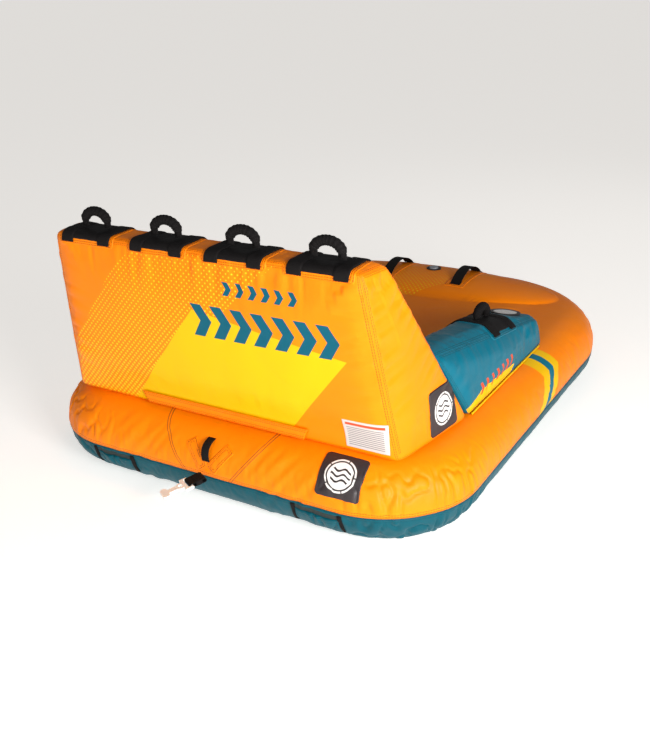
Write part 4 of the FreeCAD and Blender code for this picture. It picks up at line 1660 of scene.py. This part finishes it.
@dataclass
class GripStation:
    """Neoprene pad, two webbing straps, backing panel and padded grip of one handle."""

    name: str
    body: str
    bed: Bed
    middle: np.ndarray
    along: np.ndarray
    up: np.ndarray
    half_pad: float = 0.070

    def build(self) -> None:
        """Make the station."""
        Patch(
            0.119, self.half_pad + 0.019, 0.012, 0.0012,
            Finish.ORANGE_NYLON if "back" in self.name else Finish.TEAL_NYLON, cells=(30, 26)
        ).lay(f"{self.name}_backing", self.bed)
        pad = Patch(
            0.1035, self.half_pad, 0.010, 0.0040, Finish.FOAM, lift=0.0010, cells=(34, 28),
            relief=self.channels
        ).lay(f"{self.name}_pad_foam", self.bed)
        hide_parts(f"{self.name}_pad")
        for number, side in enumerate((-1, 1)):
            strap = Patch(
                0.025, self.half_pad + 0.012, 0.003, 0.0026, Finish.WEBBING, lift=0.0046,
                cells=(8, 40), centre=(side * 0.0785, 0.0)
            ).lay(f"{self.name}_strap_{number + 1}", self.bed)
            if number == 0:
                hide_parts(f"{self.name}_straps")
        self.grip()

    @staticmethod
    def channels(a: np.ndarray, b: np.ndarray) -> np.ndarray:
        """Shallow sewn channels across the pad and folds at its middle."""
        return -0.0012 * np.exp(
            -(((np.abs(a) - 0.049) / 0.0035) ** 2)
        ) - 0.0008 * np.exp(-((b / 0.004) ** 2))

    def grip(self) -> None:
        """Padded arch with gathers, on two folded tabs."""
        across = np.cross(self.up, self.along)
        leg = 0.010
        turn = np.linspace(math.pi, 0, 61)
        arch = np.c_[0.0490 * np.cos(turn), 0.017 + 0.0390 * np.sin(turn) ** 0.9]
        low = np.c_[np.full(6, -0.049), np.linspace(leg, 0.0155, 6)]
        high = np.c_[np.full(6, 0.049), np.linspace(0.0155, leg, 6)]
        line = np.vstack([low, arch, high])
        path = self.middle + line[:, :1] * self.along + line[:, 1:] * self.up
        way = np.gradient(path, axis=0)
        way /= np.linalg.norm(way, axis=1)[:, None]
        side = np.tile(across, (len(path), 1))
        out = np.cross(side, way)
        steps = np.r_[0, np.cumsum(np.linalg.norm(np.diff(path, axis=0), axis=1))]
        share = steps / steps[-1]
        swell = 0.50 + 0.50 * smooth_step(np.minimum(share, 1 - share), 0.0, 0.16)
        folds = 1 + 0.055 * np.sin(
            steps / 0.0115 * math.tau + 1.5 * np.sin(steps * 90)
        ) + 0.03 * np.sin(steps / 0.0043 * math.tau)
        sleeve = sweep(
            f"{self.body}_sleeve", path, side, out, round_section(0.0158, 22), Finish.SLEEVE,
            np.c_[swell * folds, swell * folds]
        )
        apply_modifier(sleeve, "SUBSURF", levels=1, render_levels=1)
        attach(sleeve, self.body)
        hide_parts(self.body)
        for number, sign in enumerate((-1, 1)):
            rise = np.linspace(0.0034, 0.022, 9)
            tab_path = self.middle + sign * 0.048 * self.along + rise[:, None] * self.up
            tab = sweep(
                f"{self.body}_tab_{number + 1}", tab_path, np.tile(self.along, (9, 1)),
                np.tile(across, (9, 1)), tape_section(0.028, 0.0048), Finish.WEBBING
            )
            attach(tab, self.body)


def box_middle(node: str) -> Vector:
    """Middle of a node's box at rest."""
    low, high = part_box(node)
    return (Vector(low) + Vector(high)) / 2


@dataclass
class Stations:
    """The four backrest grips and the two armrest grips."""

    back: BVHTree
    arms: dict[Side, BVHTree]

    def build(self) -> None:
        """Make all six."""
        for number in range(1, 5):
            name = f"back_{number}"
            spot = box_middle(f"{name}_grip")
            top = TOP + 0.623
            bed = Bed.wrapped(
                self.back, (spot.x, spot.y, top - 0.10), (1, 0, 0), (0, 0, 1), 0.125, 0.125
            )
            GripStation(
                name, f"{name}_grip", bed,
                np.array((spot.x, spot.y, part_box(f"{name}_grip")[0][2] - 0.0004)),
                np.array((1.0, 0, 0)), np.array((0, 0, 1.0))
            ).build()
            LOG.info("made %s", name)
        slope = math.atan2(-0.154, 0.87)
        along, up = np.array((0, math.cos(slope), math.sin(slope))), np.array(
            (0, -math.sin(slope), math.cos(slope))
        )
        for side, tree in self.arms.items():
            name = f"{side.name.lower()}_arm"
            middle_y = 0.930 + SHIFT
            height = TOP + 0.267 - 0.154 * (0.930 - 0.400) / 0.87
            middle = np.array((side.value * 0.5885, middle_y, height)) + up * 0.0062
            bed = Bed.wrapped(tree, middle - up * 0.09, along, up, 0.125, 0.125)
            GripStation(name, f"{name}_grip", bed, middle, along, up, 0.096).build()
            LOG.info("made %s", name)


@dataclass
class TowPoint:
    """V-shaped reinforcement, pull loop, tow strap and the quick hook's strap."""

    bed_tree: BVHTree
    yaw: float = -30.0
    droop: float = 10.0
    pivot: tuple[float, float, float] = (0.0, -1.004318, 0.144)

    def frame(self) -> Matrix:
        """Frame of the tow strap: Y out along it, Z up."""
        return Matrix.Translation(self.pivot) @ Matrix.Rotation(math.radians(self.yaw), 4, "Z") @ Matrix.Rotation(
            math.radians(self.droop), 4, "X"
        ) @ Matrix.Rotation(math.pi, 4, "Z")

    def build(self) -> None:
        """Make the tow point."""
        bed = Bed.wrapped(
            self.bed_tree, (0, self_centre_y(), 0.145), (1, 0, 0), (0, -1, 0.35), 0.14, 0.17, 80
        )
        for number, sign in enumerate((-1, 1)):
            leg = Patch(
                0.022, 0.056, 0.002, 0.0016, Finish.ORANGE_NYLON, cells=(10, 20),
                centre=(sign * 0.048, 0.012), turn=-sign * math.radians(37)
            ).lay(f"tow_patch_leg_{number + 1}", bed)
            if number == 0:
                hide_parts("tow_patch")
        near, angles = 0.1455, np.radians((18, 34, 50))
        ends = [
            (
                self_centre_y() - (near + extra) * math.cos(t), 0.145 + (near + extra) * math.sin(t)
            ) for t,
            extra in zip(angles, (0.001, 0.018, 0.001))
        ]
        share = np.linspace(0, 1, 31)
        curve = np.array(
            [
                (1 - s) ** 2 * np.array(ends[0]) + 2 * s * (1 - s)
                * (2 * np.array(ends[1]) - 0.5 * (np.array(ends[0]) + np.array(ends[2]))) + s * s
                * np.array(ends[2]) for s in share
            ]
        )
        path = np.c_[np.zeros(31), curve]
        way = np.gradient(path, axis=0)
        way /= np.linalg.norm(way, axis=1)[:, None]
        side = np.tile((1.0, 0, 0), (31, 1))
        pull = sweep(
            "pull_loop_webbing", path, side, np.cross(way, side), tape_section(0.030, 0.0026),
            Finish.WEBBING
        )
        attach(pull, "tube")
        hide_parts("pull_loop")
        self.strap()

    def strap(self) -> None:
        """Folded webbing loop and the sleeve wrapped round it."""
        place = self.frame()
        radius, length = 0.00675, 0.046
        turn = np.linspace(math.pi / 2, 3 * math.pi / 2, 13)
        outline = [(radius * math.cos(t), radius * math.sin(t)) for t in turn]
        outline += [
            (length * s, -radius * (1 - 0.12 * math.sin(math.pi * s)))
            for s in np.linspace(0.1, 0.9, 9)
        ]
        outline += [(length + radius * math.cos(t), radius * math.sin(t)) for t in turn + math.pi]
        outline += [
            (length * s, radius * (1 + 0.05 * math.sin(math.pi * s)))
            for s in np.linspace(0.9, 0.1, 9)
        ]
        local = np.array(outline)
        way = (np.roll(local, -1, axis=0) - np.roll(local, 1, axis=0))
        way /= np.linalg.norm(way, axis=1)[:, None]
        turn3 = np.array(place.to_3x3())
        path = np.array([place @ Vector((0, y, z)) for y, z in local])
        side = np.tile(turn3 @ np.array((1.0, 0, 0)), (len(local), 1))
        up = (turn3 @ np.c_[np.zeros(len(way)), way[:, 1], -way[:, 0]].T).T
        loop = sweep(
            "tow_loop_webbing", path, side, up, tape_section(0.050, 0.0024), Finish.WEBBING,
            closed=True
        )
        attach(loop, "tow_loop")
        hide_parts("tow_loop")
        across = []
        half, rise, soft = 0.0258, 0.0093, 0.006
        for cx, cz, start in (
            (half - soft, rise - soft, 0), (-half + soft, rise - soft, 90),
            (-half + soft, -rise + soft, 180), (half - soft, -rise + soft, 270)
        ):
            across += [
                (
                    cx + soft * math.cos(math.radians(start + d)),
                    cz + soft * math.sin(math.radians(start + d))
                )
                for d in (0, 30, 60, 90)
            ]
        section = np.array(across)
        steps = np.linspace(0.007, 0.031, 15)
        path = np.array([place @ Vector((0, y, 0)) for y in steps])
        swell = 1.0 + 0.05 * np.sin(
            np.linspace(0, math.pi, 15)
        ) + 0.012 * np.sin(np.arange(15) * 2.1)
        swell[[0, -1]] = 0.93
        sleeve = sweep(
            "tow_sleeve_wrap", path, np.tile(turn3 @ np.array((1.0, 0, 0)), (15, 1)),
            np.tile(turn3 @ np.array((0, 0, 1.0)), (15, 1)), section, Finish.SLEEVE,
            np.c_[swell, swell]
        )
        apply_modifier(sleeve, "SUBSURF", levels=1, render_levels=1)
        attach(sleeve, "tow_loop")
        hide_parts("tow_sleeve")


def self_centre_y() -> float:
    """Y of the near tube's centre line."""
    return 0.145 + SHIFT


@dataclass
class Trims:
    """Badges, care label, zip, flap and drains."""

    upper: BVHTree
    lower: BVHTree
    back: BVHTree

    def badges(self) -> None:
        """The three badges."""
        bed = Bed.wrapped(
            self.upper, (0.493, self_centre_y(), 0.145), (1, 0, 0), (0, -1, 1), 0.09, 0.09, 60
        )
        front = Patch(
            0.075, 0.073, 0.014, 0.004, Finish.BADGE, cells=(36, 36), relief=rim_welt
        ).lay("front_badge_foam", bed)
        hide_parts("front_badge")
        right = Backrest().planes()[5][0]
        for side in Side:
            name = f"{side.name.lower()}_badge"
            middle = box_middle(name)
            normal = Vector((side.value * right[0], right[1], right[2]))
            along = Vector((0, side.value, 0)) - normal * normal.y * side.value
            bed = Bed.flat(self.back, middle, along, normal, 0.09, 0.085)
            piece = Patch(
                0.076, 0.077, 0.015, 0.004, Finish.BADGE, cells=(36, 36),
                centre=(-0.010 * side.value, 0.0), relief=rim_welt
            ).lay(f"{name}_foam", bed)
            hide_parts(name)

    def label(self) -> None:
        """Care label on the backrest's front."""
        normal = Vector(Backrest().planes()[2][0])
        bed = Bed.flat(self.back, box_middle("care_label"), (1, 0, 0), normal, 0.08, 0.06)
        piece = Patch(
            0.075, 0.054, 0.002, 0.0008, Finish.LABEL, cells=(24, 20), lift=0.0004
        ).lay("care_label_film", bed)
        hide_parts("care_label")

    def zip(self) -> None:
        """Zip tape with its teeth, and the flap over it."""
        normal = Vector(Backrest().planes()[2][0])
        bed = Bed.flat(self.back, box_middle("zip_tape"), (1, 0, 0), normal, 0.34, 0.03)

        def teeth(a: np.ndarray, b: np.ndarray) -> np.ndarray:
            """Raised coil down the middle of the tape."""
            return 0.0009 * np.exp(-((b / 0.0022) ** 2)) * (
                0.6 + 0.4 * np.sign(np.sin(a * math.tau / 0.011))
            )

        tape = Patch(
            0.325, 0.012, 0.001, 0.0008, Finish.WEBBING, cells=(240, 10), relief=teeth
        ).lay("zip_tape_coil", bed)
        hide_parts("zip_tape")
        self.flap(normal)

    def flap(self, normal: Vector) -> None:
        """Slanted-end flap, a doubled strip of cloth that hangs from its upper edge."""
        up = Vector((1, 0, 0)).cross(normal).normalized() * -1
        up = up if up.z > 0 else -up
        middle = box_middle("zip_flap")
        rows, columns = 9, 121
        points = []
        for layer in (0, 1):
            for i in range(rows):
                v = i / (rows - 1)
                for j in range(columns):
                    u = j / (columns - 1)
                    half = 0.340 - 0.020 * (1 - v)
                    x = (u * 2 - 1) * half
                    wave = 0.0016 * noise.noise(
                        Vector((x / 0.05, v, 4.0))
                    ) * (1 - v) * (1 - abs(2 * u - 1) ** 6)
                    spot = Vector((middle.x + x, middle.y, middle.z)) + up * ((v - 0.5) * 0.044) + normal * (
                        wave + (0.0009 if layer else -0.0009)
                    )
                    points.append(tuple(spot))
        faces, seam = [], []
        shift = rows * columns

        def add(face: list[int]) -> None:
            """Add a face with its map."""
            faces.append(face)
            for number in face:
                i, j = divmod(number % shift, columns)
                seam.append((j * 0.680 / (columns - 1), min(i, rows - 1 - i) * 0.044 / (rows - 1)))

        for i in range(rows - 1):
            for j in range(columns - 1):
                n = i * columns + j
                add([n, n + 1, n + columns + 1, n + columns])
                add([n + shift, n + shift + columns, n + shift + columns + 1, n + shift + 1])
        border = [j for j in range(columns)] + [i * columns + columns - 1 for i in range(1, rows)]
        border += [
            (rows - 1) * columns + j for j in range(columns - 2, -1, -1)
        ] + [i * columns for i in range(rows - 2, 0, -1)]
        for n, m in zip(border, border[1:] + border[:1]):
            add([n, m, m + shift, n + shift])
        piece = make_piece(
            "zip_flap_cloth", np.array(points), faces, (Finish.ORANGE_NYLON,), None,
            {"Seam": np.array(seam)}
        )
        face_outwards(piece)
        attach(piece, "zip_flap")
        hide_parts("zip_flap")

    def drains(self) -> None:
        """Drain mesh, gathered flap and two bindings on each side."""
        for side in Side:
            name = side.name.lower()
            x = side.value * 0.420
            bed = Bed.wrapped(
                self.lower, (x, self_centre_y(), 0.145), (1, 0, 0), (0, -1, -0.45), 0.105, 0.06, 50
            )
            mesh = Patch(
                0.085, 0.031, 0.004, 0.0008, Finish.DRAIN, cells=(30, 12), centre=(0, 0.006)
            ).lay(f"{name}_drain_net", bed)
            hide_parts(f"{name}_drain_mesh")

            def folds(a: np.ndarray, b: np.ndarray) -> np.ndarray:
                """Gathers that hang between the bindings."""
                middle = 1 - (a / 0.083) ** 2
                return middle * (
                    0.0050 + 0.0030 * np.sin(a * 130 + 2 * np.sin(a * 60))
                    * np.clip(0.5 + b / 0.05, 0.1, 1)
                )

            flap = Patch(
                0.083, 0.0265, 0.003, 0.0016, Finish.LOWER_NYLON, lift=0.0014, cells=(60, 20),
                centre=(0, -0.006), relief=folds
            ).lay(f"{name}_drain_cloth", bed)
            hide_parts(f"{name}_drain_flap")
            for number, sign in enumerate((-1, 1)):
                band = Patch(
                    0.0075, 0.040, 0.002, 0.0046, Finish.WEBBING, lift=0.001, cells=(8, 20),
                    centre=(sign * 0.0855, 0.0)
                ).lay(f"{name}_drain_band_{number + 1}", bed)
                if number == 0:
                    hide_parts(f"{name}_drain_binding")

    def build(self) -> None:
        """Make every trim."""
        self.badges()
        self.label()
        self.zip()
        self.drains()


def rim_welt(a: np.ndarray, b: np.ndarray) -> np.ndarray:
    """Pressed groove inside a badge's edge and a low dome in its middle."""
    reach = np.maximum(np.abs(a), np.abs(b))
    return -0.0014 * np.exp(-(((reach - 0.067) / 0.0022) ** 2)) + 0.0009 * (np.hypot(a, b) < 0.056)


@dataclass
class DeckFittings:
    """Grab straps and their patches on the leg bolster."""

    upper: BVHTree
    middle_y: float = 1.800 + SHIFT
    rise: float = 0.034

    def build(self) -> None:
        """Make both straps."""
        for side in Side:
            name = side.name.lower()
            x = side.value * 0.175
            bed = Bed.flat(self.upper, (x, self.middle_y, 0.33), (1, 0, 0), (0, 0, 1), 0.06, 0.17)
            patch = Patch(
                0.047, 0.155, 0.006, 0.0018, Finish.ORANGE_NYLON, cells=(16, 40)
            ).lay(f"{name}_grab_patch_cloth", bed)
            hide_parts(f"{name}_grab_patch")
            b = np.linspace(-0.139, 0.139, 61)
            base, _ = bed.at(np.zeros(61), b)
            lift = 0.0030 + self.rise * 1.02 * np.clip(1 - (b / 0.118) ** 2, 0, 1) ** 0.85
            path = base + np.c_[np.zeros((61, 2)), lift]
            way = np.gradient(path, axis=0)
            way /= np.linalg.norm(way, axis=1)[:, None]
            across = np.tile((1.0, 0, 0), (61, 1))
            strap = sweep(
                f"{name}_grab_webbing", path, across, np.cross(across, way),
                tape_section(0.050, 0.0026), Finish.WEBBING
            )
            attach(strap, "tube")
            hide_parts(f"{name}_grab_strap")


def dress_frame() -> None:
    """Give the CAD nodes that stay in sight their finishes."""
    kept = {
        Finish.BLADDER: ("floor_bladder", "bolster_bladder"),
        Finish.RUBBER: ("deck_valve_ring", "left_valve_ring", "right_valve_ring"),
        Finish.CAP: ("left_valve_cap", "right_valve_cap"),
        Finish.DECK_CAP: ("deck_valve_cap",),
        Finish.HOOK: ("quick_hook",),
        Finish.SLIDER: ("zip_slider",),
    }
    for finish, names in kept.items():
        for name in names:
            for spot in frame["nodes"][name].material_slots:
                spot.material = finish.material()


@dataclass
class Studio:
    """Pale floor, soft light and the camera."""

    place: tuple[float, float, float] = (1.77868, -3.14082, 1.70079)
    right: tuple[float, float, float] = (0.85142, 0.52298, -0.03951)
    down: tuple[float, float, float] = (0.17330, -0.35163, -0.91995)
    ahead: tuple[float, float, float] = (-0.49501, 0.77643, -0.39002)
    lens: float = 45.47

    def lamp(self, name: str, spot: Sequence[float], size: float, power: float) -> None:
        """Add a soft square lamp that faces the tube."""
        light = bpy.data.lights.new(name, "AREA")
        light.size, light.energy = size, power
        lamp = bpy.data.objects.new(name, light)
        lamp.location = spot
        lamp.rotation_euler = (
            Vector((0, 0, 0.3)) - Vector(spot)
        ).to_track_quat("-Z", "Y").to_euler()
        bpy.context.scene.collection.objects.link(lamp)

    def build(self) -> None:
        """Make the camera, the floor and the lights."""
        scene = bpy.context.scene
        scene.view_settings.view_transform = "Standard"
        data = bpy.data.cameras.new("camera")
        data.lens, data.sensor_width = self.lens, CAMERA_SENSOR
        data.shift_x, data.shift_y = CAMERA_SHIFT
        camera = bpy.data.objects.new("camera", data)
        turn = Matrix(
            (self.right, tuple(-c for c in self.down), tuple(-c for c in self.ahead))
        ).transposed()
        camera.matrix_world = Matrix.Translation(self.place) @ turn.to_4x4()
        scene.collection.objects.link(camera)
        scene.camera = camera
        floor_mesh = bpy.data.meshes.new("floor")
        corners = [(-1, -1), (1, -1), (1, 1), (-1, 1)]
        floor_mesh.from_pydata(
            [(FLOOR_HALF * x, FLOOR_HALF * y, -FLOOR_DROP) for x, y in corners], [], [(0, 1, 2, 3)]
        )
        floor = bpy.data.objects.new("floor", floor_mesh)
        floor_mesh.materials.append(Finish.FLOOR.material())
        scene.collection.objects.link(floor)
        world = bpy.data.worlds.new("studio")
        world.use_nodes = True
        tree = world.node_tree
        tree.nodes.clear()
        seen = add_node(tree, "ShaderNodeLightPath").outputs["Is Camera Ray"]
        strength = add_node(
            tree, "ShaderNodeMapRange", {"Value": seen, "To Min": WORLD_LIGHT, "To Max": 1.0}
        )
        sky = add_node(
            tree, "ShaderNodeBackground", {"Color": (1, 1, 1, 1), "Strength": strength.outputs[0]}
        )
        add_node(tree, "ShaderNodeOutputWorld", {0: sky.outputs[0]})
        scene.world = world
        self.lamp("key_lamp", (3.2, -2.5, 1.35), 1.4, 165)
        self.lamp("fill_lamp", (0.2, -4.4, 1.5), 2.2, 30)
        self.lamp("far_lamp", (0.6, 3.6, 3.0), 2.5, 8)


def main() -> None:
    """Build every sub-assembly in order and report it."""
    logging.basicConfig(level=logging.INFO, format="%(name)s: %(message)s")
    Studio().build()
    upper, lower = BaseCovers().build()
    LOG.info(
        "made the base covers, %d and %d faces", len(upper.data.polygons), len(lower.data.polygons)
    )
    back = Backrest().build()
    LOG.info("made the backrest, %d faces", len(back.data.polygons))
    arms = {side: Armrest(side).build() for side in Side}
    LOG.info("made the armrests")
    Stations(tree_of(back), {side: tree_of(arm) for side, arm in arms.items()}).build()
    TowPoint(tree_of(upper)).build()
    Trims(tree_of(upper), tree_of(lower), tree_of(back)).build()
    DeckFittings(tree_of(upper)).build()
    dress_frame()


if __name__ == "__main__":
    main()
